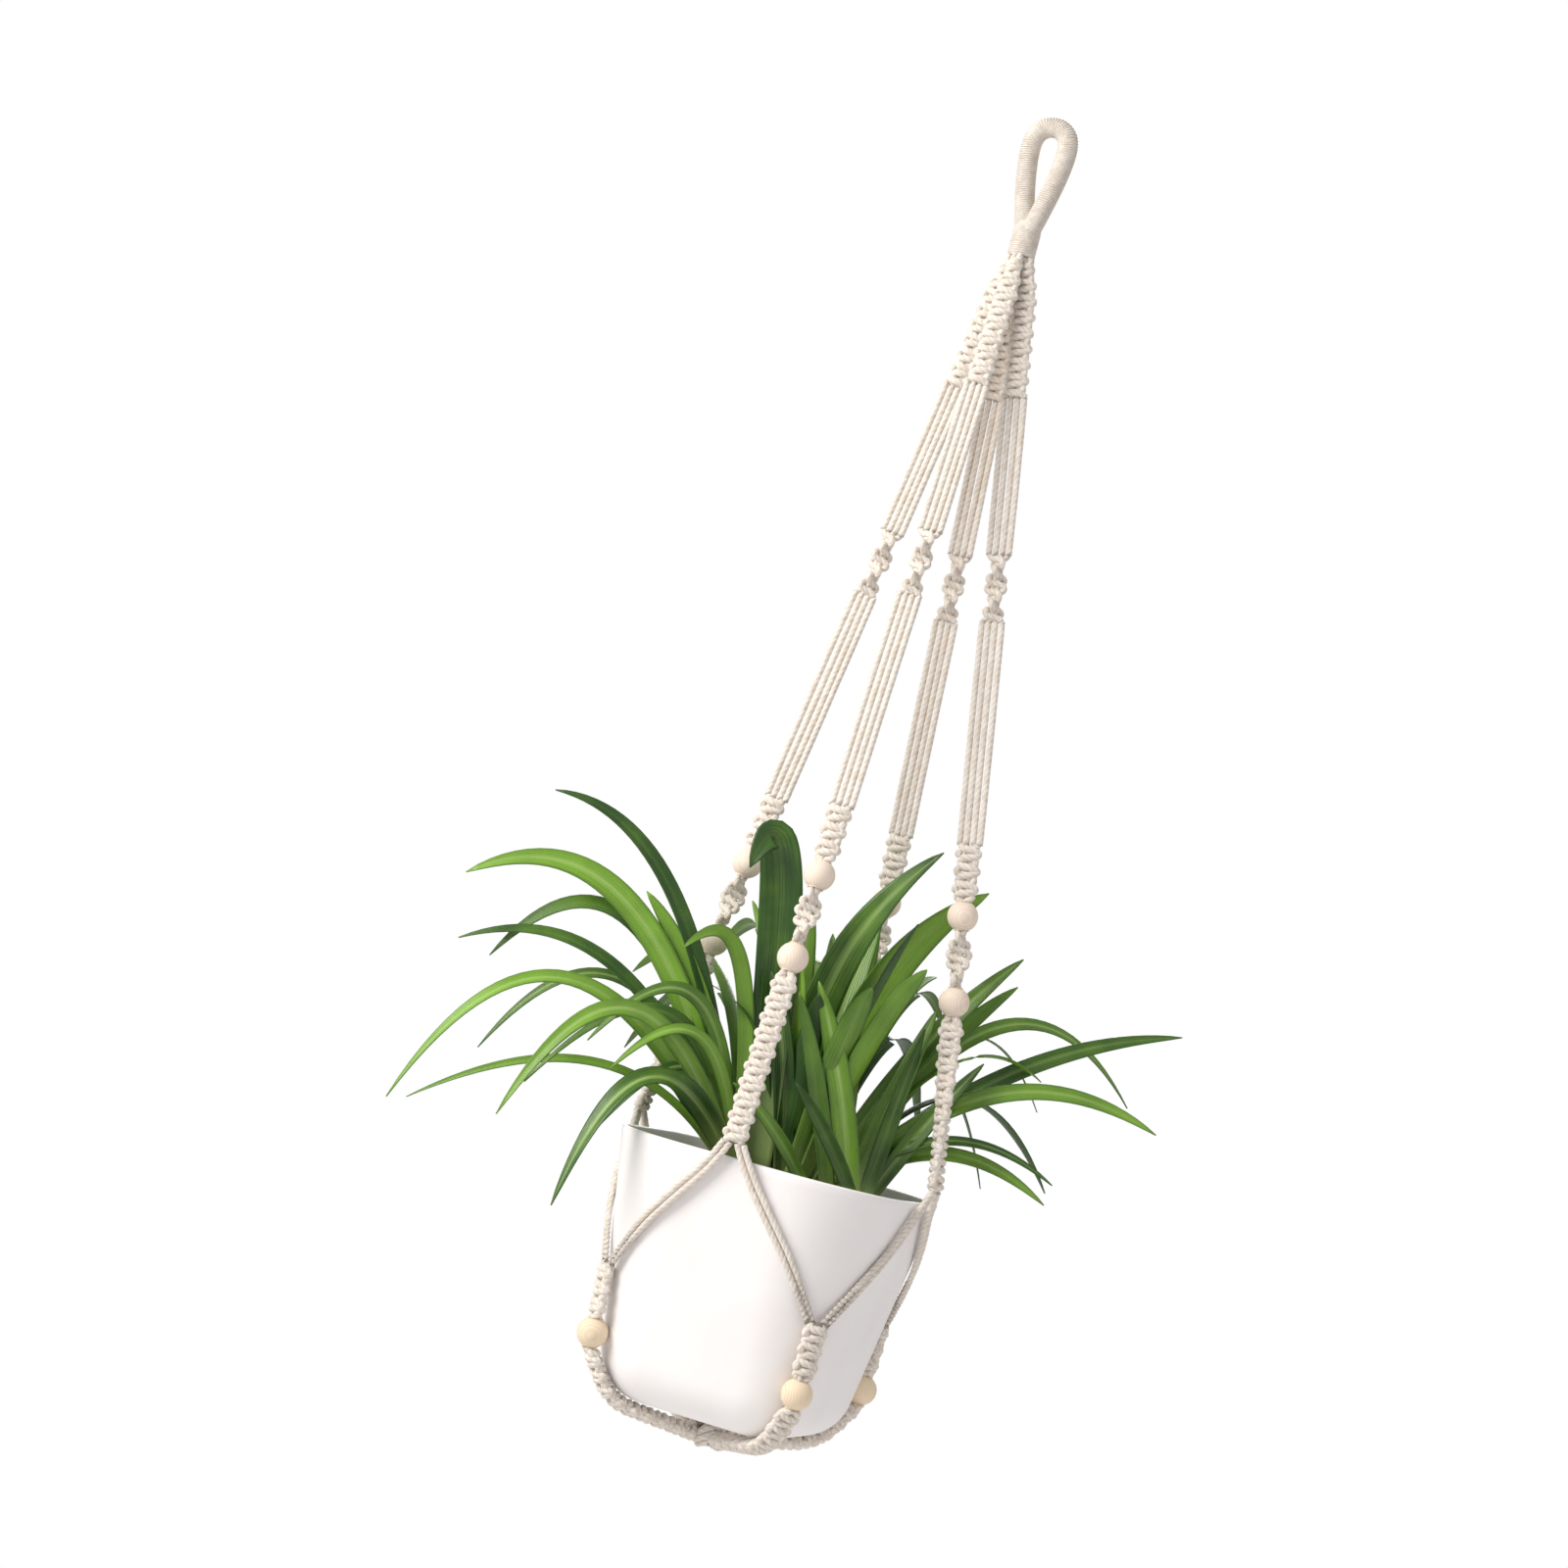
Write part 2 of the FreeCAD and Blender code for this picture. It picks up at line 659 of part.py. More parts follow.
# Each leaf: azimuth, reach of its tip, height of its tip above the soil, height its arch
# aims for, full width, and the ring of the crown that it grows from (0 inner to 2 outer).
# The inner leaves start nearer the middle and rise more steeply, so they stay above the
# outer ones.
OUTER_LEAVES = [
    (-61, 204, 212, 250, 15, 2), (-70, 246, 146, 290, 15, 2), (-66, 258, -4, 236, 17, 2),
    (-55, 246, 10, 180, 9, 2), (-46, 200, 6, 206, 16, 2), (-40, 150, -42, 160, 17, 2),
    (-52, 128, 8, 120, 10, 2), (-73, 212, 40, 200, 11, 2), (-28, 128, 60, 190, 15, 2),
    (-112, 190, 130, 230, 15, 2), (-122, 214, 60, 220, 15, 2), (-134, 180, 140, 250, 16, 2),
    (-146, 196, 40, 200, 15, 2), (-158, 150, 120, 220, 14, 2), (110, 234, 163, 220, 16, 2),
    (119, 246, 94, 250, 16, 2), (71, 236, 108, 210, 14, 2), (127, 186, 46, 150, 12, 2),
    (74, 202, 38, 130, 13, 2), (138, 214, 110, 240, 15, 2), (148, 180, 30, 190, 15, 2),
    (160, 150, 130, 230, 14, 2), (60, 170, 60, 190, 15, 2), (48, 160, 96, 210, 14, 2),
    (30, 126, 70, 180, 14, 2),
]
INNER_LEAVES = [
    (-32, 86, 204, 170, 28, 1), (136, 60, 242, 150, 22, 1), (121, 96, 220, 160, 24, 1),
    (108, 124, 184, 160, 15, 1), (-74, 62, 176, 140, 20, 1), (-16, 40, 150, 110, 18, 0),
    (12, 42, 128, 100, 17, 0), (44, 62, 150, 120, 18, 1), (64, 80, 168, 130, 18, 1),
    (84, 50, 188, 130, 20, 0), (170, 46, 196, 130, 20, 0), (-166, 48, 180, 130, 18, 0),
    (-138, 66, 206, 150, 18, 1), (-112, 60, 160, 120, 17, 0), (-52, 96, 150, 150, 16, 1),
    (150, 92, 180, 160, 17, 1), (30, 70, 112, 110, 12, 1), (-40, 70, 116, 110, 12, 0),
]
CROWN_RINGS = (9.0, 20.0, 31.0)

# A leaf rises on a parabola: how far out its control point lies, as a share of the reach,
# and how full the blade is near its root and how blunt towards its tip.
ARCH_SHARE = 0.42
ROOT_FULLNESS = 0.16
BLUNTNESS = 0.6
LEAF_STEPS = 9


def leaf(azimuth, reach, tip_height, arch_height, width, ring):
    """Arching strap of a leaf: a thin flat-faced blade that tapers to its tip."""
    soil = dim("pot_base_height") + dim("pot_height") - dim("soil_top_drop")
    half_thick = dim("leaf_thickness") / 2
    out = outward(azimuth)
    side = sideways(azimuth)
    start = CROWN_RINGS[ring]
    root = out * start + UP * (soil + dim("running_gap"))
    aim = out * (start + ARCH_SHARE * (reach - start)) + UP * (soil + arch_height)
    tip = out * reach + UP * (soil + tip_height)
    sections = []
    for step in range(LEAF_STEPS + 1):
        t = step / LEAF_STEPS
        centre = root * (1 - t) ** 2 + aim * (2 * t * (1 - t)) + tip * t ** 2
        along = (aim - root) * (1 - t) + (tip - aim) * t
        face = along.cross(side).normalize()
        swell = math.sin(math.pi * (ROOT_FULLNESS + (1 - ROOT_FULLNESS) * t)) ** BLUNTNESS
        stem = dim("leaf_root_width") * (1 - t)
        half_width = max(dim("leaf_tip_width"), stem + (width - stem) * swell) / 2
        sections.append([centre + side * (half_width * a) + face * (half_thick * b)
                         for a, b in ((-1, 1), (1, 1), (1, -1), (-1, -1))])
    outlines = [sections[0], sections[-1]]
    for (a, b, c, d), (e, f, g, h) in zip(sections, sections[1:]):
        # the blade's faces are flat between two sections; its edges are folded along a diagonal
        outlines += [[a, b, f, e], [d, c, g, h], [b, c, g], [b, g, f], [a, d, h], [a, h, e]]
    faces = [Part.Face(Part.makePolygon(points + points[:1])) for points in outlines]
    blade = Part.Solid(Part.Shell(faces))
    if blade.Volume < 0:
        blade.reverse()
    return blade


def foliage(name, leaves):
    """A set of leaves, each a blade of its own."""
    plant = doc.addObject("Part::Feature", name + "_blades")
    plant.Shape = Part.makeCompound([leaf(*numbers) for numbers in leaves])
    publish(plant, name)


# ---------------------------------------------------------------- the whole planter

hanging_loop()
neck_wrap()
for arm_name, arm_azimuth in ARMS.items():
    arm(arm_name, arm_azimuth)
    cradle_cords(arm_name, arm_azimuth)
for corner_name, corner_azimuth in CORNERS.items():
    end_of_bead = corner_sennit(corner_name, corner_azimuth)
    base_sennit(corner_name, corner_azimuth, end_of_bead)
base_knot()
pot()
foliage("outer_leaves", OUTER_LEAVES)
foliage("inner_leaves", INNER_LEAVES)

doc.recompute()

for obj in doc.Objects:
    if "Invalid" in obj.State or "Error" in obj.State:
        raise RuntimeError("%s failed to build: %s" % (obj.Label, obj.State))
for obj in nodes:
    if obj.Shape.isNull() or not obj.Shape.isValid():
        raise RuntimeError("%s has no valid shape" % obj.Label)
    for solid in obj.Shape.Solids:
        if solid.Volume <= 0:
            raise RuntimeError("%s has a solid with no volume" % obj.Label)

os.makedirs("parts", exist_ok=True)
for obj in nodes:
    obj.Shape.exportStep("parts/%s.step" % obj.Label)
print("%d nodes written" % len(nodes))
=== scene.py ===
import json
import logging
import math
import random
from dataclasses import dataclass, field, replace
from enum import Enum
from typing import ClassVar

import bmesh
import bpy
from mathutils import Matrix, Vector, noise


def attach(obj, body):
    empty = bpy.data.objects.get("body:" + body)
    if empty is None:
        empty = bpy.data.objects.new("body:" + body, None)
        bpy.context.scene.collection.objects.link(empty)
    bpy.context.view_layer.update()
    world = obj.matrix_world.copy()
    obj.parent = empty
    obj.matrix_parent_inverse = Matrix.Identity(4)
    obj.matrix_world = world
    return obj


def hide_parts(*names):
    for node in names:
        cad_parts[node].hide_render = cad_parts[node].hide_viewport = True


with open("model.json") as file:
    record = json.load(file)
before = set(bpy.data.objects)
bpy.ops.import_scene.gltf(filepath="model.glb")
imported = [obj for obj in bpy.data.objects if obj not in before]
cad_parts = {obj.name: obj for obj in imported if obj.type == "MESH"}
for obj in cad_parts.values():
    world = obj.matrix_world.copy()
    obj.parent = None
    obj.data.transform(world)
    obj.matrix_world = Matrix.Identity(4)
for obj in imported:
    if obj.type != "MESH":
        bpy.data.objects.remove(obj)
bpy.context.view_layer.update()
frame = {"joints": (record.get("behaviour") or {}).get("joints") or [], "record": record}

LOG = logging.getLogger("planter")

MM = 0.001
UP = Vector((0.0, 0.0, 1.0))
RIGHTWARDS = Vector((1.0, 0.0, 0.0))

Colour = tuple[float, float, float, float]
Path = list[Vector]


# ---------------------------------------------------------------- small tools

def outward(azimuth: float) -> Vector:
    """Horizontal direction away from the planter's axis; 0 degrees is the front, -Y."""
    turn = math.radians(azimuth)
    return Vector((math.sin(turn), -math.cos(turn), 0.0))


def sideways(azimuth: float) -> Vector:
    """Horizontal direction a quarter turn on from outward."""
    return outward(azimuth + 90.0)


def axes(origin: Vector, along: Vector, across: Vector) -> Matrix:
    """Local frame whose Z runs along a line and whose X lies nearest to another direction.

    Args:
        origin: where the frame stands.
        along: direction of its Z.
        across: direction that its X follows.

    Returns:
        The frame as a 4 by 4 matrix.
    """
    z = along.normalized()
    y = z.cross(across).normalized()
    x = y.cross(z)
    turn = Matrix((x, y, z)).transposed().to_4x4()
    return Matrix.Translation(origin) @ turn


def smooth(share: float) -> float:
    """Ease from 0 to 1, level at both ends, for a share that is held within 0 and 1."""
    held = min(1.0, max(0.0, share))
    return held * held * (3.0 - 2.0 * held)


def linear(code: str) -> Colour:
    """Colour for a shader from an sRGB hex code such as #F4EFE6."""
    channels = []
    for start in (1, 3, 5):
        value = int(code[start:start + 2], 16) / 255.0
        channels.append(value / 12.92 if value <= 0.04045 else ((value + 0.055) / 1.055) ** 2.4)
    return (channels[0], channels[1], channels[2], 1.0)


def add_node(tree: bpy.types.NodeTree, kind: str, settings: dict | None = None,
             values: dict | None = None, links: dict | None = None) -> bpy.types.Node:
    """Adds a shader node with its settings, socket values and links.

    Args:
        tree: the node tree that takes the node.
        kind: the node's type name.
        settings: its own properties by name.
        values: socket values by name or place.
        links: output sockets that feed its sockets, by name or place.

    Returns:
        The new node.
    """
    node = tree.nodes.new(kind)
    for name, value in (settings or {}).items():
        setattr(node, name, value)
    for socket, value in (values or {}).items():
        node.inputs[socket].default_value = value
    for socket, source in (links or {}).items():
        tree.links.new(source, node.inputs[socket])
    return node


def blend_colours(tree: bpy.types.NodeTree, share: bpy.types.NodeSocket,
                  low: Colour | bpy.types.NodeSocket,
                  high: Colour | bpy.types.NodeSocket) -> bpy.types.NodeSocket:
    """Colour between two others.

    Args:
        tree: the node tree.
        share: socket that gives 0 for the first colour and 1 for the second.
        low: the first colour, or a socket that gives it.
        high: the second colour, or a socket that gives it.

    Returns:
        The socket of the blended colour.
    """
    values = {}
    links = {"Factor": share}
    for place, colour in ((6, low), (7, high)):
        if isinstance(colour, bpy.types.NodeSocket):
            links[place] = colour
        else:
            values[place] = colour
    mix = add_node(tree, "ShaderNodeMix", {"data_type": "RGBA"}, values, links)
    return mix.outputs[2]


def stretch(tree: bpy.types.NodeTree, source: bpy.types.NodeSocket,
            low: float, high: float) -> bpy.types.NodeSocket:
    """Value of a socket stretched so that low gives 0 and high gives 1."""
    node = add_node(tree, "ShaderNodeMapRange", {"interpolation_type": "SMOOTHSTEP"},
                    {"From Min": low, "From Max": high}, {"Value": source})
    return node.outputs["Result"]


def reckon(tree: bpy.types.NodeTree, work: str, *terms: float | bpy.types.NodeSocket
           ) -> bpy.types.NodeSocket:
    """Result of one math operation on numbers and sockets."""
    values = {}
    links = {}
    for place, term in enumerate(terms):
        if isinstance(term, bpy.types.NodeSocket):
            links[place] = term
        else:
            values[place] = term
    return add_node(tree, "ShaderNodeMath", {"operation": work}, values, links).outputs[0]


# ---------------------------------------------------------------- finishes

def new_material(name: str) -> tuple[bpy.types.Material, bpy.types.NodeTree, bpy.types.Node]:
    """Empty material with its Principled shader.

    Args:
        name: the material's name.

    Returns:
        The material, its node tree and its shader node.
    """
    material = bpy.data.materials.new(name)
    material.use_nodes = True
    tree = material.node_tree
    shader = tree.nodes["Principled BSDF"]
    return material, tree, shader


def surface_noise(tree: bpy.types.NodeTree, source: bpy.types.NodeSocket, size: float,
                  detail: float = 2.0, rough: float = 0.5) -> bpy.types.NodeSocket:
    """Noise whose blotches are about one size, in metres of the vector that feeds it."""
    node = add_node(tree, "ShaderNodeTexNoise", {},
                    {"Scale": 1.0 / size, "Detail": detail, "Roughness": rough},
                    {"Vector": source})
    return node.outputs["Fac"]


@dataclass(frozen=True)
class TwistedCotton:
    """Natural cotton cord of three twisted plies: matt, with fuzz that glows at its edges.

    Painted shade: a warm grey is painted into the grooves between the plies, and the same grey
    marks random specks of fuzz; fine yarns run round each ply.
    """

    name: str = "twisted_cotton"
    light: str = "#F1EBE3"
    warm: str = "#E4DACF"
    # warm grey of the painted shade in the ply grooves, also the colour of the random fuzz specks
    groove_shade_and_speck: str = "#C5B7A9"
    yarns: float = 15.0
    yarn_pitch: float = 9.0
    mottle: float = 5.0 * MM
    fuzz: float = 0.5 * MM

    def material(self) -> bpy.types.Material:
        """Builds the material; the cord's UV map is in millimetres along and turns around."""
        material, tree, shader = new_material(self.name)
        place = add_node(tree, "ShaderNodeTexCoord").outputs["Object"]
        wound = add_node(tree, "ShaderNodeUVMap", {"uv_map": CORD_UV}).outputs["UV"]
        split = add_node(tree, "ShaderNodeSeparateXYZ", links={"Vector": wound})
        along, around = split.outputs["X"], split.outputs["Y"]

        blotch = stretch(tree, surface_noise(tree, place, self.mottle, 3.0), 0.35, 0.68)
        body = blend_colours(tree, blotch, linear(self.light), linear(self.warm))
        # three grooves lie between the plies, darkened with painted shade
        ply = reckon(tree, "COSINE", reckon(tree, "MULTIPLY", around, 3.0 * math.tau))
        painted_groove_shade = stretch(tree, ply, -0.55, -1.0)
        speck = stretch(tree, surface_noise(tree, place, self.fuzz * 3.0, 2.0), 0.45, 0.75)
        shade = reckon(tree, "MAXIMUM", reckon(tree, "MULTIPLY", painted_groove_shade, 0.55),
                       reckon(tree, "MULTIPLY", speck, 0.25))
        # painted shade in the grooves, and random fuzz specks, both in the warm grey
        colour = blend_colours(tree, shade, body, linear(self.groove_shade_and_speck))
        tree.links.new(colour, shader.inputs["Base Color"])

        turns = reckon(tree, "ADD", reckon(tree, "MULTIPLY", around, self.yarns),
                       reckon(tree, "DIVIDE", along, self.yarn_pitch / self.yarns * 3.0))
        yarn = reckon(tree, "SINE", reckon(tree, "MULTIPLY", turns, math.tau))
        fibres = surface_noise(tree, place, self.fuzz, 4.0, 0.7)
        height = reckon(tree, "ADD", reckon(tree, "MULTIPLY", yarn, 0.35), fibres)
        bump = add_node(tree, "ShaderNodeBump", {}, {"Strength": 0.6, "Distance": 0.25 * MM},
                        {"Height": height})
        tree.links.new(bump.outputs["Normal"], shader.inputs["Normal"])
        shader.inputs["Roughness"].default_value = 0.92
        shader.inputs["Specular IOR Level"].default_value = 0.2
        shader.inputs["Sheen Weight"].default_value = 0.35
        shader.inputs["Sheen Roughness"].default_value = 0.6
        shader.inputs["Sheen Tint"].default_value = linear("#FFF6EA")
        return material


@dataclass(frozen=True)
class SandedBeech:
    """Turned and sanded beech, unvarnished: fine straight grain, short flecks, dull gloss."""

    name: str = "sanded_beech"
    light: str = "#F3E4D5"
    dark: str = "#EBD8C6"
    fleck: str = "#CFB295"
    ring: float = 1.6 * MM

    def material(self) -> bpy.types.Material:
        """Builds the material; the grain attribute holds each bead's own coordinates."""
        material, tree, shader = new_material(self.name)
        grain = add_node(tree, "ShaderNodeAttribute", {"attribute_name": GRAIN}).outputs["Vector"]
        flat = add_node(tree, "ShaderNodeMapping", {}, {"Scale": (1.0, 1.0, 0.12)},
                        {"Vector": grain}).outputs["Vector"]
        bands = add_node(tree, "ShaderNodeTexWave", {"wave_type": "BANDS", "bands_direction": "X"},
                         {"Scale": 0.314 / self.ring, "Distortion": 3.5, "Detail": 3.0,
                          "Detail Scale": 1.4, "Detail Roughness": 0.6},
                         {"Vector": flat}).outputs["Fac"]
        pores = stretch(tree, surface_noise(tree, flat, 0.35 * MM, 2.0), 0.62, 0.78)
        body = blend_colours(tree, bands, linear(self.light), linear(self.dark))
        colour = blend_colours(tree, reckon(tree, "MULTIPLY", pores, 0.55), body,
                               linear(self.fleck))
        tree.links.new(colour, shader.inputs["Base Color"])
        height = reckon(tree, "SUBTRACT", reckon(tree, "MULTIPLY", bands, 0.3), pores)
        bump = add_node(tree, "ShaderNodeBump", {}, {"Strength": 0.35, "Distance": 0.1 * MM},
                        {"Height": height})
        tree.links.new(bump.outputs["Normal"], shader.inputs["Normal"])
        shader.inputs["Roughness"].default_value = 0.55
        shader.inputs["Specular IOR Level"].default_value = 0.35
        return material


@dataclass(frozen=True)
class MouldedPolypropylene:
    """White polypropylene from a satin mould: soft gloss over a very faint orange peel."""

    name: str = "white_moulded_polypropylene"
    white: str = "#F8F5F5"
    shade: str = "#F5F1F1"
    peel: float = 2.2 * MM

    def material(self) -> bpy.types.Material:
        """Builds the material."""
        material, tree, shader = new_material(self.name)
        place = add_node(tree, "ShaderNodeTexCoord").outputs["Object"]
        cloud = stretch(tree, surface_noise(tree, place, 45.0 * MM, 2.0), 0.3, 0.7)
        colour = blend_colours(tree, cloud, linear(self.white), linear(self.shade))
        tree.links.new(colour, shader.inputs["Base Color"])
        scuffs = surface_noise(tree, place, 9.0 * MM, 4.0, 0.6)
        rough = add_node(tree, "ShaderNodeMapRange", {}, {"To Min": 0.36, "To Max": 0.48},
                         {"Value": scuffs})
        tree.links.new(rough.outputs["Result"], shader.inputs["Roughness"])
        peel = surface_noise(tree, place, self.peel, 1.0)
        bump = add_node(tree, "ShaderNodeBump", {}, {"Strength": 0.12, "Distance": 0.1 * MM},
                        {"Height": peel})
        tree.links.new(bump.outputs["Normal"], shader.inputs["Normal"])
        shader.inputs["IOR"].default_value = 1.49
        shader.inputs["Subsurface Weight"].default_value = 0.08
        shader.inputs["Subsurface Radius"].default_value = (0.004, 0.003, 0.003)
        return material


@dataclass(frozen=True)
class PottingMix:
    """Moist bark and peat: near-black crumbs with a few paler chips."""

    name: str = "bark_and_peat"
    dark: str = "#2B1E16"
    pale: str = "#6B4C33"

    def material(self) -> bpy.types.Material:
        """Builds the material."""
        material, tree, shader = new_material(self.name)
        place = add_node(tree, "ShaderNodeTexCoord").outputs["Object"]
        chips = add_node(tree, "ShaderNodeTexVoronoi", {}, {"Scale": 1.0 / (4.0 * MM)},
                         {"Vector": place})
        pick = add_node(tree, "ShaderNodeSeparateColor", links={"Color": chips.outputs["Color"]})
        pale = stretch(tree, pick.outputs["Red"], 0.55, 1.0)
        crumbs = surface_noise(tree, place, 1.2 * MM, 5.0, 0.7)
        body = blend_colours(tree, pale, linear(self.dark), linear(self.pale))
        colour = blend_colours(tree, stretch(tree, crumbs, 0.4, 0.7), body, linear("#1A120D"))
        tree.links.new(colour, shader.inputs["Base Color"])
        bump = add_node(tree, "ShaderNodeBump", {}, {"Strength": 0.8, "Distance": 0.8 * MM},
                        {"Height": crumbs})
        tree.links.new(bump.outputs["Normal"], shader.inputs["Normal"])
        shader.inputs["Roughness"].default_value = 0.95
        return material


@dataclass(frozen=True)
class WaxyLeaf:
    """Waxy strap leaf: a pale stripe down its middle, darker margins and fine parallel veins."""

    name: str = "waxy_leaf"
    deep: str = "#2D501B"
    fresh: str = "#7DAA37"
    stripe: str = "#A9C678"
    veins: float = 11.0

    def material(self) -> bpy.types.Material:
        """Builds the material; UV X runs across the blade, UV Y from its root to its tip."""
        material, tree, shader = new_material(self.name)
        place = add_node(tree, "ShaderNodeTexCoord").outputs["Object"]
        uv = add_node(tree, "ShaderNodeUVMap", {"uv_map": LEAF_UV}).outputs["UV"]
        split = add_node(tree, "ShaderNodeSeparateXYZ", links={"Vector": uv})
        across, along = split.outputs["X"], split.outputs["Y"]
        tone = add_node(tree, "ShaderNodeAttribute", {"attribute_name": TONE}).outputs["Fac"]

        off = reckon(tree, "ABSOLUTE", reckon(tree, "SUBTRACT", across, 0.5))
        cloud = surface_noise(tree, place, 30.0 * MM, 2.0)
        streaks = add_node(tree, "ShaderNodeMapping", {}, {"Scale": (26.0, 2.5, 1.0)},
                           {"Vector": uv}).outputs["Vector"]
        streak = surface_noise(tree, streaks, 1.0, 3.0, 0.6)
        broken = stretch(tree, streak, 0.25, 0.6)
        uneven = reckon(tree, "SUBTRACT", reckon(tree, "ADD", cloud, streak), 1.0)
        green = reckon(tree, "ADD", tone, reckon(tree, "MULTIPLY", uneven, 0.9))
        body = blend_colours(tree, green, linear(self.deep), linear(self.fresh))
        edge = stretch(tree, off, 0.30, 0.50)
        margins = blend_colours(tree, reckon(tree, "MULTIPLY", edge, 0.45), body,
                                linear(self.deep))
        line = reckon(tree, "MULTIPLY", stretch(tree, off, 0.2, 0.0),
                      stretch(tree, reckon(tree, "FRACT", reckon(tree, "MULTIPLY", tone, 7.0)),
                              0.15, 1.0))
        line = reckon(tree, "MULTIPLY", line, broken)
        striped = blend_colours(tree, reckon(tree, "MULTIPLY", line, 0.7), margins,
                                linear(self.stripe))
        root = stretch(tree, along, 0.22, 0.0)
        colour = blend_colours(tree, reckon(tree, "MULTIPLY", root, 0.5), striped,
                               linear("#B9CE83"))
        tree.links.new(colour, shader.inputs["Base Color"])

        vein = reckon(tree, "SINE", reckon(tree, "MULTIPLY", across, self.veins * math.tau))
        skin = surface_noise(tree, place, 1.0 * MM, 2.0)
        height = reckon(tree, "ADD", vein, reckon(tree, "MULTIPLY", skin, 0.6))
        bump = add_node(tree, "ShaderNodeBump", {}, {"Strength": 0.3, "Distance": 0.15 * MM},
                        {"Height": height})
        tree.links.new(bump.outputs["Normal"], shader.inputs["Normal"])
        shader.inputs["Roughness"].default_value = 0.33
        shader.inputs["Specular IOR Level"].default_value = 0.45
        shader.inputs["Subsurface Weight"].default_value = 0.12
        shader.inputs["Subsurface Radius"].default_value = (0.001, 0.003, 0.0006)
        return material


CORD_UV = "UVMap"
LEAF_UV = "UVMap"
GRAIN = "grain"
TONE = "tone"


class Finish(Enum):
    """The planter's finishes, each with the record's material slot that it belongs to."""

    COTTON = ("cotton_cord", TwistedCotton())
    PALE_BEECH = ("pale_bead", SandedBeech("pale_sanded_beech"))
    TAN_BEECH = ("tan_bead", SandedBeech("tan_sanded_beech", "#F0DEC5", "#E8D2B2", "#CCB08B"))
    POLYPROPYLENE = ("white_pot", MouldedPolypropylene())
    SOIL = ("potting_soil", PottingMix())
    LEAF = ("leaf", WaxyLeaf())

    def slot(self) -> str:
        """The record's slot."""
        return self.value[0]

    def material(self) -> bpy.types.Material:
        """The finish's material, built once."""
        recipe = self.value[1]
        return bpy.data.materials.get(recipe.name) or recipe.material()


BODY_OF = {node: body for body, nodes in frame["record"]["behaviour"]["bodies"].items()
           for node in nodes}


def present(piece: bpy.types.Object, finish: Finish, *nodes: str) -> None:
    """Dresses a piece, lets it ride on the body of the nodes it stands for, and reports it.

    Args:
        piece: the finished object, at the origin.
        finish: its finish.
        nodes: the CAD nodes that it replaces, all on one body.
    """
    piece.data.materials.clear()
    piece.data.materials.append(finish.material())
    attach(piece, BODY_OF[nodes[0]])
    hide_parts(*nodes)
    LOG.info("%s: %d faces, for %s", piece.name, len(piece.data.polygons), ", ".join(nodes))


def to_object(name: str, mesh: bpy.types.Mesh, smooth_faces: bool = True) -> bpy.types.Object:
    """Object at the origin that holds a mesh, in the scene."""
    mesh.name = name
    piece = bpy.data.objects.new(name, mesh)
    bpy.context.scene.collection.objects.link(piece)
    if smooth_faces:
        mesh.shade_smooth()
    return piece


def from_bmesh(name: str, work: bmesh.types.BMesh, smooth_faces: bool = True
               ) -> bpy.types.Object:
    """Object at the origin made from a bmesh, which is freed."""
    mesh = bpy.data.meshes.new(name)
    work.to_mesh(mesh)
    work.free()
    return to_object(name, mesh, smooth_faces)


# ---------------------------------------------------------------- cords

def ply_section(radius: float, lobe: float, corners: int) -> bpy.types.Object:
    """Closed outline of a cord: three shallow lobes, one for each ply.

    Args:
        radius: the cord's mean radius.
        lobe: depth of the grooves between plies, as a share of the radius.
        corners: points round the outline.

    Returns:
        A curve object for use as a bevel, not linked to the scene.
    """
    outline = bpy.data.curves.new("ply_section", "CURVE")
    outline.dimensions = "2D"
    spline = outline.splines.new("POLY")
    spline.points.add(corners - 1)
    for step in range(corners):
        angle = -math.tau * step / corners
        reach = radius * (1.0 + lobe * math.cos(3.0 * angle))
        spline.points[step].co = (reach * math.cos(angle), reach * math.sin(angle), 0.0, 1.0)
    spline.use_cyclic_u = True
    return bpy.data.objects.new("ply_section", outline)


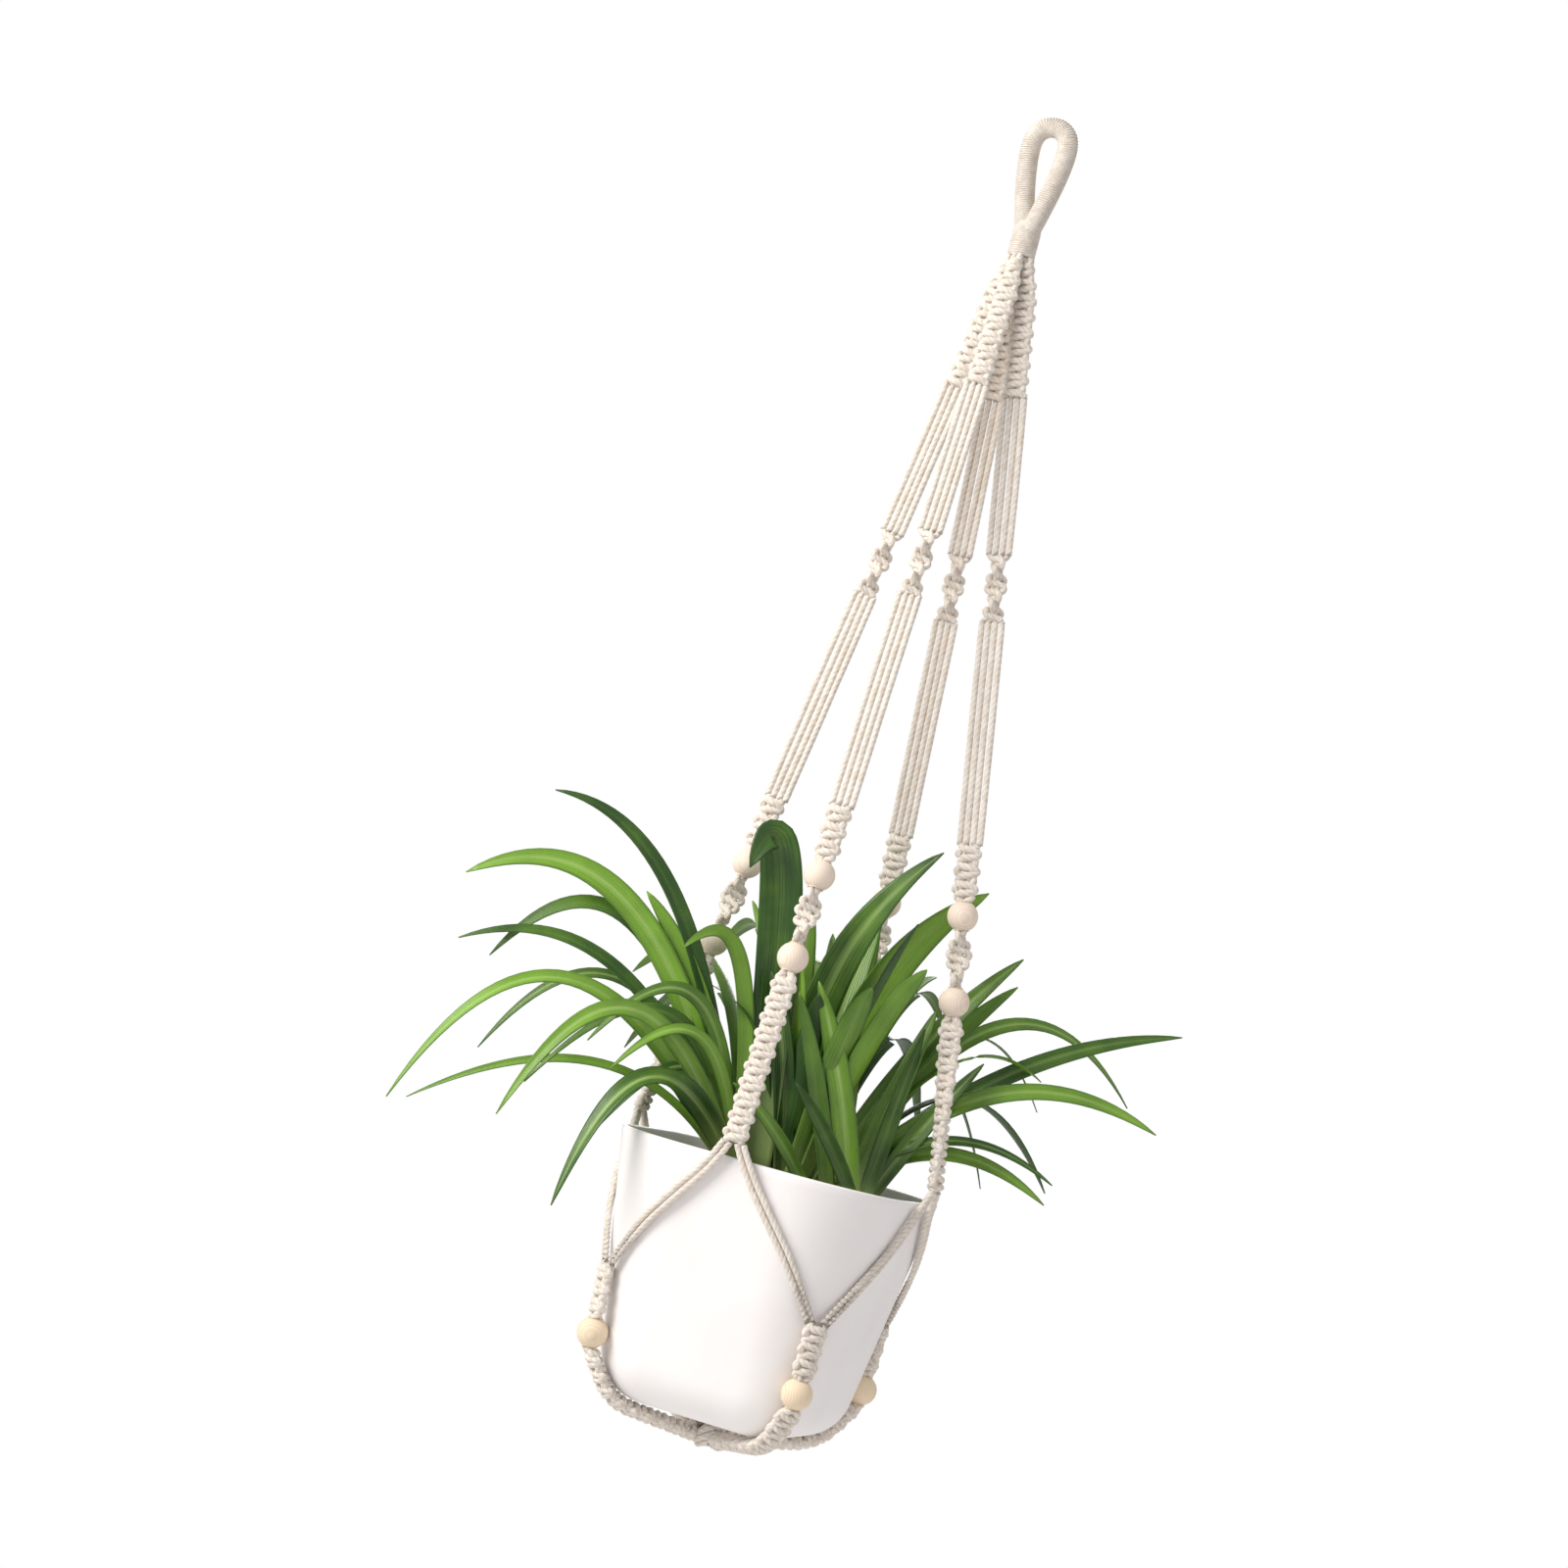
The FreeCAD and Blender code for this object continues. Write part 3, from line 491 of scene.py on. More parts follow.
@dataclass
class Cordage:
    """Makes meshes of one kind of cord from rows of control points.

    Fields:
        radius: mean radius of the cord.
        lobe: depth of its ply grooves, as a share of the radius.
        corners: sides of its section.
        lay: length of one full twist of its plies.
        steps: rings between two control points.
    """

    radius: float = 2.0 * MM
    lobe: float = 0.07
    corners: int = 12
    lay: float = 13.0 * MM
    steps: int = 3

    def mesh(self, name: str, paths: list[Path], steps: int | None = None) -> bpy.types.Mesh:
        """Tubes with twisted plies along several paths, in one mesh.

        Args:
            name: name of the mesh.
            paths: control points of each cord.
            steps: rings between control points, in place of the usual number.

        Returns:
            The mesh, with its UV map in millimetres along and turns around.
        """
        curve = bpy.data.curves.new(name, "CURVE")
        curve.dimensions = "3D"
        curve.twist_mode = "MINIMUM"
        curve.bevel_mode = "OBJECT"
        section = ply_section(self.radius, self.lobe, self.corners)
        curve.bevel_object = section
        curve.use_fill_caps = True
        curve.resolution_u = steps or self.steps
        total = 0.0
        for points in paths:
            total += self.spline(curve, points)
        holder = bpy.data.objects.new(name, curve)
        bpy.context.scene.collection.objects.link(holder)
        bpy.context.view_layer.update()
        graph = bpy.context.evaluated_depsgraph_get()
        mesh = bpy.data.meshes.new_from_object(holder.evaluated_get(graph))
        bpy.data.objects.remove(holder)
        bpy.data.objects.remove(section)
        bpy.data.curves.remove(curve)
        self.measure_uv(mesh, total / len(paths))
        work = bmesh.new()
        work.from_mesh(mesh)
        bmesh.ops.remove_doubles(work, verts=work.verts, dist=1e-6)
        bmesh.ops.recalc_face_normals(work, faces=work.faces)
        work.to_mesh(mesh)
        work.free()
        return mesh

    def plumper(self) -> "Cordage":
        """The same cord where knots press it, a little wider than where it hangs straight."""
        return replace(self, radius=1.16 * self.radius)

    def spline(self, curve: bpy.types.Curve, points: Path) -> float:
        """Adds one cord's spline to a curve and twists its plies; returns its length."""
        spline = curve.splines.new("NURBS")
        spline.points.add(len(points) - 1)
        gone = 0.0
        before = points[0]
        for place, point in enumerate(points):
            gone += (point - before).length
            before = point
            spline.points[place].co = (*point, 1.0)
            spline.points[place].tilt = math.tau * gone / self.lay
        spline.order_u = 3
        spline.use_endpoint_u = True
        return gone

    def measure_uv(self, mesh: bpy.types.Mesh, length: float) -> None:
        """Scales the UV map from shares of a cord's length to millimetres."""
        for loop in mesh.uv_layers[0].data:
            loop.uv = (loop.uv[0] * length / MM, loop.uv[1])
        mesh.uv_layers[0].name = CORD_UV


def sampled(points: Path, steps: int = 12) -> Path:
    """Points along the smooth line of a row of control points.

    Args:
        points: control points.
        steps: points for each control point.

    Returns:
        The points of the curve, read from it without a bevel.
    """
    curve = bpy.data.curves.new("route", "CURVE")
    curve.dimensions = "3D"
    curve.resolution_u = steps
    spline = curve.splines.new("NURBS")
    spline.points.add(len(points) - 1)
    for place, point in enumerate(points):
        spline.points[place].co = (*point, 1.0)
    spline.order_u = 3
    spline.use_endpoint_u = True
    holder = bpy.data.objects.new("route", curve)
    bpy.context.scene.collection.objects.link(holder)
    bpy.context.view_layer.update()
    graph = bpy.context.evaluated_depsgraph_get()
    mesh = bpy.data.meshes.new_from_object(holder.evaluated_get(graph))
    line = [vertex.co.copy() for vertex in mesh.vertices]
    bpy.data.objects.remove(holder)
    bpy.data.curves.remove(curve)
    bpy.data.meshes.remove(mesh)
    return line


def moving_frames(line: Path) -> list[Matrix]:
    """Frames that follow a line without turning about it, Z along the line."""
    frames = []
    across = None
    for place, point in enumerate(line):
        ahead = line[min(place + 1, len(line) - 1)] - line[max(place - 1, 0)]
        along = ahead.normalized()
        if across is None:
            across = along.orthogonal()
        across = (across - along * across.dot(along)).normalized()
        frames.append(axes(point, along, across))
    return frames


def wound_round(line: Path, radius: float, pitch: float, turn_points: int,
                phase: float = 0.0) -> Path:
    """Control points of a thread wound round a line.

    Args:
        line: closely spaced points of the line.
        radius: distance of the thread from the line.
        pitch: length of line for each turn.
        turn_points: control points for each turn.
        phase: where the thread starts, in turns.

    Returns:
        The thread's control points.
    """
    frames = moving_frames(line)
    reached = [0.0]
    for before, after in zip(line, line[1:]):
        reached.append(reached[-1] + (after - before).length)
    points = []
    place = 0
    count = int(reached[-1] / pitch * turn_points)
    for step in range(count + 1):
        distance = step * pitch / turn_points
        while place < len(line) - 2 and reached[place + 1] < distance:
            place += 1
        share = (distance - reached[place]) / (reached[place + 1] - reached[place])
        turn = math.tau * (phase + step / turn_points)
        spoke = Vector((radius * math.cos(turn), radius * math.sin(turn), 0.0))
        points.append((frames[place] @ spoke).lerp(frames[place + 1] @ spoke, min(1.0, share)))
    return points


# ---------------------------------------------------------------- tracks that knotting follows

@dataclass
class StraightTrack:
    """Straight line for knotting: X across the ribbon, Y out of its face, Z along it.

    Fields:
        start: the frame at its beginning.
        turn: how far the ribbon turns over the length, in degrees.
        turn_from: distance at which the turn begins.
        turn_over: length of the turn.
    """

    start: Matrix
    turn: float = 0.0
    turn_from: float = 0.0
    turn_over: float = 1.0

    def at(self, distance: float) -> Matrix:
        """Frame at a distance from the beginning."""
        share = min(1.0, max(0.0, (distance - self.turn_from) / self.turn_over))
        spin = Matrix.Rotation(math.radians(self.turn * share), 4, "Z")
        return self.start @ Matrix.Translation((0.0, 0.0, distance)) @ spin


@dataclass
class FootTrack:
    """Line of a strap: straight down to the pot's foot, round it, then straight under it.

    Fields:
        azimuth: direction of its corner.
        begin: distance out and height where it begins.
        centre: distance out and height of the bend's centre.
        radius: radius of the bend.
        end: distance out and height where it ends.
        first: angle below the horizontal where the bend begins.
        last: angle below the horizontal where the bend ends.
        run_in: length of the straight run before the bend.
        length: whole length.
    """

    azimuth: float
    begin: tuple[float, float]
    centre: tuple[float, float]
    radius: float
    end: tuple[float, float]
    first: float = field(init=False)
    last: float = field(init=False)
    run_in: float = field(init=False)
    length: float = field(init=False)

    def __post_init__(self) -> None:
        """Works out where the straight runs touch the bend."""
        self.first = self.touch_angle(self.begin, 1.0)
        self.last = self.touch_angle(self.end, -1.0)
        self.run_in = (self.place(self.begin) - self.on_bend(self.first)).length
        run_out = (self.place(self.end) - self.on_bend(self.last)).length
        self.length = self.run_in + self.radius * (self.last - self.first) + run_out

    def touch_angle(self, point: tuple[float, float], side: float) -> float:
        """Angle below the horizontal at which a line from a point touches the bend."""
        out = point[0] - self.centre[0]
        rise = point[1] - self.centre[1]
        return math.atan2(-rise, out) + side * math.acos(self.radius / math.hypot(out, rise))

    def place(self, point: tuple[float, float]) -> Vector:
        """Point in space at a distance out and a height."""
        return outward(self.azimuth) * point[0] + UP * point[1]

    def on_bend(self, angle: float) -> Vector:
        """Point of the bend at an angle below the horizontal."""
        return self.place((self.centre[0] + self.radius * math.cos(angle),
                           self.centre[1] - self.radius * math.sin(angle)))

    def at(self, distance: float) -> Matrix:
        """Frame at a distance from the beginning, its face away from the pot."""
        bend = self.radius * (self.last - self.first)
        angle = self.first + min(bend, max(0.0, distance - self.run_in)) / self.radius
        heading = -outward(self.azimuth) * math.sin(angle) - UP * math.cos(angle)
        if distance < self.run_in:
            heading = (self.on_bend(self.first) - self.place(self.begin)).normalized()
            point = self.place(self.begin) + heading * distance
        elif distance < self.run_in + bend:
            point = self.on_bend(angle)
        else:
            point = self.on_bend(self.last) + heading * (distance - self.run_in - bend)
        return axes(point, heading, sideways(self.azimuth))


# ---------------------------------------------------------------- knotting

class Knotting(Enum):
    """How a stretch of the hanger is tied."""

    SQUARE = "square knots, which lie flat"
    SPIRAL = "half knots, which turn as they are tied"


@dataclass
class Sennit:
    """A stretch of four-cord knotting: two working cords tied round two straight ones.

    Fields:
        track: the line that it follows.
        start: distance along the track where it begins.
        length: its length.
        knotting: how it is tied.
        bead_above: whether its cords come out of a bead.
        bead_below: whether its cords go into a bead.
        gather: length over which it opens out from a tight bundle.
        turned: angle of a spiral at its beginning, in degrees.
        turns: angle that a spiral turns through, in degrees.
        reach: distance of the side loops' middle from the ribbon's middle.
        depth: distance of the crossing cords from the ribbon's middle.
        pitch: usual length of a half knot.
        settle: length over which the cords part again beside a bead.
        nip: how much narrower it is between two square knots, as a share.
        hook: how far a working cord hooks past the other at the side, as a share of the depth.
        lean: how far crossing cords slope, in radians of the knotting's phase.
        huddle: how far the two halves of a square knot draw together, in half knots.
        thinness: depth and core of a spiral, as a share of a square knot's.
        opening: width of a gathered end, as a share of the full width.
        points_per_half: control points for each half knot.
        core_offset: distance of the straight cords from the ribbon's middle.
        bead_offset: distance of each cord from the middle of a bead's hole, both ways.
        bead_reach: how far the cords run on into a bead, and how far out they stay straight.
    """

    track: StraightTrack | FootTrack
    start: float
    length: float
    knotting: Knotting = Knotting.SQUARE
    bead_above: bool = False
    bead_below: bool = False
    gather: float = 0.0
    turned: float = 0.0
    turns: float = 0.0
    reach: float = 7.1 * MM
    depth: float = 3.5 * MM
    pitch: float = 5.5 * MM
    settle: float = 4.5 * MM
    nip: float = 0.24
    hook: float = 0.45
    lean: float = 0.4
    huddle: float = 0.05
    thinness: float = 0.58
    opening: float = 0.42
    points_per_half: int = 5
    core_offset: float = 2.0 * MM
    bead_offset: float = 1.65 * MM
    bead_reach: tuple[float, float] = (1.5 * MM, 0.8 * MM)

    def paths(self) -> list[Path]:
        """Control points of its four cords: both working cords, then both straight ones."""
        lead = self.settle if self.bead_above else 0.0
        tail = self.settle if self.bead_below else 0.0
        knotted = self.length - lead - tail
        halves = max(2, round(knotted / self.pitch))
        half = knotted / halves
        count = halves * self.points_per_half
        inside, outside = self.bead_reach
        result = []
        for cord in range(4):
            points = []
            if self.bead_above:
                points.append(self.beside_bead(cord, 0.0, -inside))
                points.append(self.beside_bead(cord, 0.0, outside))
            for step in range(count + 1):
                phase = math.pi * step / self.points_per_half
                points.append(self.knot_point(cord, phase, half, lead, halves))
            if self.bead_below:
                points.append(self.beside_bead(cord, self.length, -outside))
                points.append(self.beside_bead(cord, self.length, inside))
            result.append(points)
        return result

    def beside_bead(self, cord: int, distance: float, extra: float) -> Vector:
        """Place of a cord where the four are squeezed into a bead's hole.

        Args:
            cord: number of the cord.
            distance: which end of the stretch, as a distance from its beginning.
            extra: distance on from that end.

        Returns:
            The place.
        """
        x = -self.bead_offset if cord in (0, 2) else self.bead_offset
        y = self.bead_offset if cord in (0, 1) else -self.bead_offset
        at = self.track.at(self.start + distance + extra)
        spin = Matrix.Rotation(math.radians(self.turned), 4, "Z")
        return at @ spin @ Vector((x, y, 0.0))

    def knot_point(self, cord: int, phase: float, half: float, lead: float,
                   halves: int) -> Vector:
        """Place of one cord at a phase of the knotting, half a turn of phase to a half knot.

        Args:
            cord: 0 and 1 for the working cords, 2 and 3 for the straight ones.
            phase: the phase, in radians.
            half: length of a half knot.
            lead: length before the first knot.
            halves: how many half knots there are.

        Returns:
            The place.
        """
        share = phase / (math.pi * halves)
        spiral = self.knotting is Knotting.SPIRAL
        if cord >= 2:
            offset = self.core_offset * (self.thinness if spiral else 1.0)
            local = Vector((offset * (-1.0 if cord == 2 else 1.0), 0.0, 0.0))
            distance = half * phase / math.pi
            spin = 0.0
        elif self.knotting is Knotting.SQUARE:
            local, shift = self.square(cord, phase)
            distance = half * (phase / math.pi + shift)
            spin = 0.0
        else:
            side = -1.0 if cord == 0 else 1.0
            local = Vector((side * self.reach * math.cos(phase),
                            -side * self.depth * self.thinness * math.sin(phase), 0.0))
            distance = half * (phase + self.lean * math.sin(2.0 * phase)) / math.pi
            spin = self.turned + self.turns * share
        if spiral and cord >= 2:
            spin = self.turned + self.turns * share
        distance = min(max(distance, 0.0), half * halves)
        opened = 1.0
        if self.gather > 0.0:
            widening = smooth((lead + distance) / self.gather)
            opened = self.opening + (1.0 - self.opening) * widening
        local.x *= opened
        at = self.track.at(self.start + lead + distance)
        return at @ Matrix.Rotation(math.radians(spin), 4, "Z") @ local

    def square(self, cord: int, phase: float) -> tuple[Vector, float]:
        """Local place of a working cord of a square knot.

        Args:
            cord: 0 for the cord that stays on the face, 1 for the one that goes behind.
            phase: half a turn for each half knot.

        Returns:
            Its place across and out of the face, and its shift along in half knots.
        """
        side = -1.0 if cord == 0 else 1.0
        reach = self.reach * (1.0 - self.nip * (1.0 + math.cos(phase)) / 2.0)
        at_side = math.cos(phase) ** 2
        if cord == 0:
            out = self.depth * (1.0 - at_side)
        else:
            out = self.depth * ((1.0 + self.hook) * at_side - 1.0)
        local = Vector((side * reach * math.cos(phase), out, 0.0))
        shift = self.lean * math.sin(2.0 * phase) / math.pi + self.huddle * math.sin(phase)
        return local, shift


def squeezed(track: StraightTrack, start: float, length: float) -> list[Path]:
    """Control points of four cords that are squeezed together, as in a bead's hole.

    Args:
        track: the line that they follow.
        start: distance along the track where they begin.
        length: their length.

    Returns:
        The four cords' control points.
    """
    offset = Sennit.bead_offset
    paths = []
    for x, y in ((-1, 1), (1, 1), (-1, -1), (1, -1)):
        corner = Vector((x * offset, y * offset, 0.0))
        paths.append([track.at(start + share * length) @ corner for share in (0.0, 0.5, 1.0)])
    return paths


def plain_paths(track: StraightTrack, start: float, length: float, spread: float,
                draw: random.Random) -> list[Path]:
    """Control points of four cords that run side by side, hardly ever quite straight.

    Args:
        track: the line that they follow.
        start: distance along the track where they begin.
        length: their length.
        spread: distance between two neighbours.
        draw: source of the small unevenness.

    Returns:
        The four cords' control points.
    """
    paths = []
    spacing = 3.0 * MM
    most_sway = 0.35
    most_lift = 0.5
    count = round(length / spacing)
    for cord in range(4):
        sway = draw.uniform(-most_sway, most_sway) * MM
        lift = draw.uniform(-most_lift, most_lift) * MM
        points = []
        for step in range(count + 1):
            share = step / count
            bow = math.sin(math.pi * share)
            local = Vector(((cord - 1.5) * spread + sway * bow, lift * bow, 0.0))
            points.append(track.at(start + share * length) @ local)
        paths.append(points)
    return paths


# ---------------------------------------------------------------- sub-assemblies

ARMS = {"front": 0.0, "right": 90.0, "back": 180.0, "left": 270.0}
CORNERS = {"front_right": 45.0, "back_right": 135.0, "back_left": 225.0, "front_left": 315.0}


@dataclass
class HangingEye:
    """Wrapped rope eye at the top and the wound neck under it.

    Fields:
        rope_radius: radius of the wrapped rope.
        half_width: distance of the rope's middle from the eye's middle.
        leg_end: height at which the legs go into the neck; they end a little lower.
        leg_offset: measure of how far the legs stand before and behind each other.
        thread_radius: radius of the wrapping thread.
        thread_pitch: distance between two of its turns.
        neck_radius: radius of the wound neck.
        neck_pivot: height of the neck's domed top's centre.
        neck_bottom: height of its lower end.
        sunk: depth of the thread's middle below rope_radius, in radii of the thread.
        dome_cover: how far up its dome the neck is wound, in degrees.
    """

    rope_radius: float = 6.8 * MM
    half_width: float = 12.2 * MM
    leg_end: float = -60.0 * MM
    leg_offset: float = 4.6 * MM
    thread_radius: float = 0.8 * MM
    thread_pitch: float = 1.5 * MM
    neck_radius: float = 9.5 * MM
    neck_pivot: float = -66.5 * MM
    neck_bottom: float = -83.0 * MM
    sunk: float = 0.9
    dome_cover: float = 66.0

    def route(self) -> Path:
        """Control points of the eye's rope, from one leg over the crown to the other.

        Returns:
            The points; the second half is the first one turned round the upright axis.
        """
        half = []
        # shares of half_width, leg_offset and leg_end
        for across, before, below in ((0.22, 0.55, 1.10), (0.74, 0.62, 0.70),
                                      (1.04, 0.17, 0.30), (1.05, 0.00, 0.02)):
            half.append(Vector((across * self.half_width, -before * self.leg_offset,
                                below * self.leg_end)))
        half.append(Vector((0.46 * self.half_width, 0.0, self.rope_radius)))
        return half + [Vector((-p.x, -p.y, p.z)) for p in reversed(half)]

    def build(self) -> None:
        """Builds the eye and the neck."""
        line = sampled(self.route())
        core = Cordage(self.rope_radius - self.thread_radius, 0.0, 20, 1.0, 6)
        thread = Cordage(self.thread_radius, 0.0, 6, 1.0, 1)
        wrapping = wound_round(line, self.rope_radius - self.sunk * self.thread_radius,
                               self.thread_pitch, 18)
        present(joined("wrapped_eye", [core.mesh("eye_core", [self.route()]),
                                       thread.mesh("eye_wrap", [wrapping])]),
                Finish.COTTON, "hanging_loop")

        inside = bmesh.new()
        radius = self.neck_radius - self.thread_radius
        end = self.neck_bottom + self.thread_radius / 2.0
        outline = [Vector((0.0, 0.0, end)), Vector((radius, 0.0, end))]
        dome_steps = 8
        for step in range(dome_steps + 1):
            rise = math.radians(90.0 * step / dome_steps)
            outline.append(Vector((radius * math.cos(rise), 0.0,
                                   self.neck_pivot + radius * math.sin(rise))))
        turned(inside, outline, 24)
        filler = bpy.data.meshes.new("neck_filler")
        inside.to_mesh(filler)
        inside.free()
        winding = thread.mesh("neck_winding", [self.neck_thread()])
        present(joined("wound_neck", [filler, winding]), Finish.COTTON, "neck_wrap")

    def neck_thread(self) -> Path:
        """Control points of the thread wound up the neck and over its domed top."""
        points = []
        turn_points = 20
        run = self.neck_radius - self.thread_radius
        barrel = self.neck_pivot - self.neck_bottom - self.thread_radius
        dome = run * math.radians(self.dome_cover)
        count = int((barrel + dome) / self.thread_pitch * turn_points)
        for step in range(count + 1):
            gone = step * self.thread_pitch / turn_points
            turn = math.tau * step / turn_points
            if gone < barrel:
                out, height = run, self.neck_bottom + self.thread_radius + gone
            else:
                rise = (gone - barrel) / run
                out = run * math.cos(rise)
                height = self.neck_pivot + run * math.sin(rise)
            points.append(Vector((out * math.cos(turn), out * math.sin(turn), height)))
        return points


def turned(work: bmesh.types.BMesh, outline: Path, segments: int) -> None:
    """Spins an outline in the XZ plane about the Z axis into a closed skin.

    Args:
        work: the bmesh that takes the skin.
        outline: points from one end of the axis to the other, or a closed ring of them.
        segments: steps round the axis.
    """
    verts = [work.verts.new(point) for point in outline]
    edges = [work.edges.new(pair) for pair in zip(verts, verts[1:])]
    bmesh.ops.spin(work, geom=verts + edges, cent=(0.0, 0.0, 0.0), axis=(0.0, 0.0, 1.0),
                   angle=math.tau, steps=segments, use_merge=True)
    bmesh.ops.remove_doubles(work, verts=work.verts, dist=1e-6)
    bmesh.ops.recalc_face_normals(work, faces=work.faces)


def joined(name: str, meshes: list[bpy.types.Mesh]) -> bpy.types.Object:
    """One smooth object from several meshes, which are removed."""
    work = bmesh.new()
    for mesh in meshes:
        work.from_mesh(mesh)
        bpy.data.meshes.remove(mesh)
    return from_bmesh(name, work)


@dataclass
class Bead:
    """Turned wooden bead: a ball with small rounded flats round its drilled hole.

    Fields:
        radius: radius of the ball.
        half_length: half its length along the hole.
        hole_radius: radius of the hole.
        edge: width of the broken edge round the hole.
        rounding: share of the arc between the flats that is a true ball.
        grain_tilt: how far the grain may lean from the hole, in radians.
    """

    radius: float = 10.0 * MM
    half_length: float = 9.25 * MM
    hole_radius: float = 4.5 * MM
    edge: float = 0.7 * MM
    rounding: float = 0.96
    grain_tilt: float = 0.5

    def outline(self) -> Path:
        """Closed half section of the bead, its hole along Z."""
        cap = math.asin(self.half_length / self.radius)
        points = []
        arc_steps = 18
        for step in range(arc_steps + 1):
            angle = cap * (2.0 * step / arc_steps - 1.0) * self.rounding
            points.append(Vector((self.radius * math.cos(angle), 0.0,
                                  self.radius * math.sin(angle))))
        wall = self.hole_radius
        top = self.half_length
        nick = 0.25 * self.edge
        chamfer = [Vector((wall + self.edge, 0.0, top)),
                   Vector((wall + nick, 0.0, top - nick)),
                   Vector((wall, 0.0, top - self.edge))]
        points += chamfer
        points += [Vector((p.x, 0.0, -p.z)) for p in reversed(chamfer)]
        points.append(points[0].copy())
        return points

    def build(self, node: str, place: Vector, axis: Vector, finish: Finish,
              draw: random.Random) -> None:
        """Builds one bead.

        Args:
            node: the CAD bead that it stands for.
            place: its middle.
            axis: direction of its hole.
            finish: its wood.
            draw: source of the way its grain lies.
        """
        work = bmesh.new()
        turned(work, self.outline(), 40)
        lay = Matrix.Rotation(draw.uniform(0.0, math.tau), 4, "Z") @ Matrix.Rotation(
            draw.uniform(-self.grain_tilt, self.grain_tilt), 4, "X")
        offset = Vector([draw.uniform(0.0, 0.5) for _ in range(3)])
        grain = work.verts.layers.float_vector.new(GRAIN)
        for vert in work.verts:
            vert[grain] = lay @ vert.co + offset
        bmesh.ops.transform(work, matrix=axes(place, axis, RIGHTWARDS), verts=work.verts)
        present(from_bmesh(node + "_ball", work), finish, node)


@dataclass
class Arm:
    """One arm of the hanger, from the neck down to the pot's rim.

    Fields:
        side: name of its side.
        azimuth: direction of its side.
        start_radius: distance out where it leaves the neck.
        end_radius: distance out at the rim.
        top: height where it leaves the neck.
        bottom: height at the rim.
        top_sennit: length of the knotting under the neck.
        upper_run: length of the upper plain cords.
        upper_spiral: length of the upper spiral.
        lower_run: length of the lower plain cords.
        bead_sennit: length of the knotting above the upper bead.
        bead: length of a bead.
        middle_spiral: length of the spiral between the beads.
        cord_spread: distance between two plain cords.
        neck_space: length of the cord ends between the neck and the first knot.
        neck_clearance: gap that lets the net turn under the neck.
        gather: length over which the arm opens out under the neck.
        spiral_reach: half width of the upper spiral.
        snug: length over which its cords part above the upper bead.
    """

    side: str
    azimuth: float
    start_radius: float = 5.5 * MM
    end_radius: float = 104.0 * MM
    top: float = -83.0 * MM
    bottom: float = -689.0 * MM
    top_sennit: float = 94.0 * MM
    upper_run: float = 106.0 * MM
    upper_spiral: float = 44.0 * MM
    lower_run: float = 147.0 * MM
    bead_sennit: float = 37.0 * MM
    bead: float = 18.5 * MM
    middle_spiral: float = 37.0 * MM
    cord_spread: float = 4.5 * MM
    neck_space: float = 3.2 * MM
    neck_clearance: float = 0.3 * MM
    gather: float = 26.0 * MM
    spiral_reach: float = 6.2 * MM
    snug: float = 2.5 * MM

    def build(self, cord: Cordage, draw: random.Random) -> None:
        """Builds the arm's cords.

        Args:
            cord: the kind of cord that it is made of.
            draw: source of small unevenness.
        """
        out = outward(self.azimuth)
        head = out * self.start_radius + UP * self.top
        foot = out * self.end_radius + UP * self.bottom
        length = (foot - head).length
        flat = StraightTrack(axes(head, foot - head, RIGHTWARDS))
        here = 0.0
        top = Sennit(flat, self.neck_space, self.top_sennit - self.neck_space,
                     gather=self.gather)
        ends = squeezed(flat, self.neck_clearance, 2.5 * self.neck_space)
        self.knots(cord, "top_sennit", top, ends)
        here += self.top_sennit
        self.runs(cord, "upper_cords", flat, here, self.upper_run, draw)
        here += self.upper_run
        self.knots(cord, "upper_spiral", Sennit(flat, here, self.upper_spiral, Knotting.SPIRAL,
                                                turns=360.0, reach=self.spiral_reach))
        here += self.upper_spiral
        self.runs(cord, "lower_cords", flat, here, self.lower_run, draw)
        here += self.lower_run
        self.knots(cord, "bead_sennit", Sennit(flat, here, self.bead_sennit, bead_below=True,
                                               settle=self.snug))
        here += self.bead_sennit + self.bead
        middle = Sennit(flat, here, self.middle_spiral, Knotting.SPIRAL, True, True,
                        turned=90.0, turns=180.0)
        through = (squeezed(flat, here - self.bead, self.bead)
                   + squeezed(flat, here + self.middle_spiral, self.bead))
        self.knots(cord, "middle_spiral", middle, through)
        here += self.middle_spiral + self.bead
        turn = 0.0 if self.azimuth % 180.0 == 0.0 else 90.0
        last = StraightTrack(flat.start, turn, here, length - here)
        self.knots(cord, "rim_sennit", Sennit(last, here, length - here, bead_above=True))

    def knots(self, cord: Cordage, part: str, sennit: Sennit,
              extra: list[Path] | None = None) -> None:
        """Builds one knotted stretch.

        Args:
            cord: the kind of cord.
            part: the stretch's name, without its side.
            sennit: the stretch.
            extra: control points of further cords that belong to its node.
        """
        node = "%s_%s" % (self.side, part)
        used = cord.plumper() if sennit.knotting is Knotting.SQUARE else cord
        pieces = [used.mesh(node + "_cords", sennit.paths())]
        if extra:
            pieces.append(cord.mesh(node + "_extra", extra, 6))
        present(joined(node + "_cords", pieces), Finish.COTTON, node)

    def runs(self, cord: Cordage, part: str, track: StraightTrack, start: float, length: float,
             draw: random.Random) -> None:
        """Builds four unknotted cords.

        Args:
            cord: the kind of cord.
            part: the stretch's name, without its side.
            track: the line that they follow.
            start: distance along the track where they begin.
            length: their length.
            draw: source of small unevenness.
        """
        node = "%s_%s" % (self.side, part)
        paths = plain_paths(track, start, length, self.cord_spread, draw)
        present(joined(node + "_strands", [cord.mesh(node, paths, 2)]), Finish.COTTON, node)


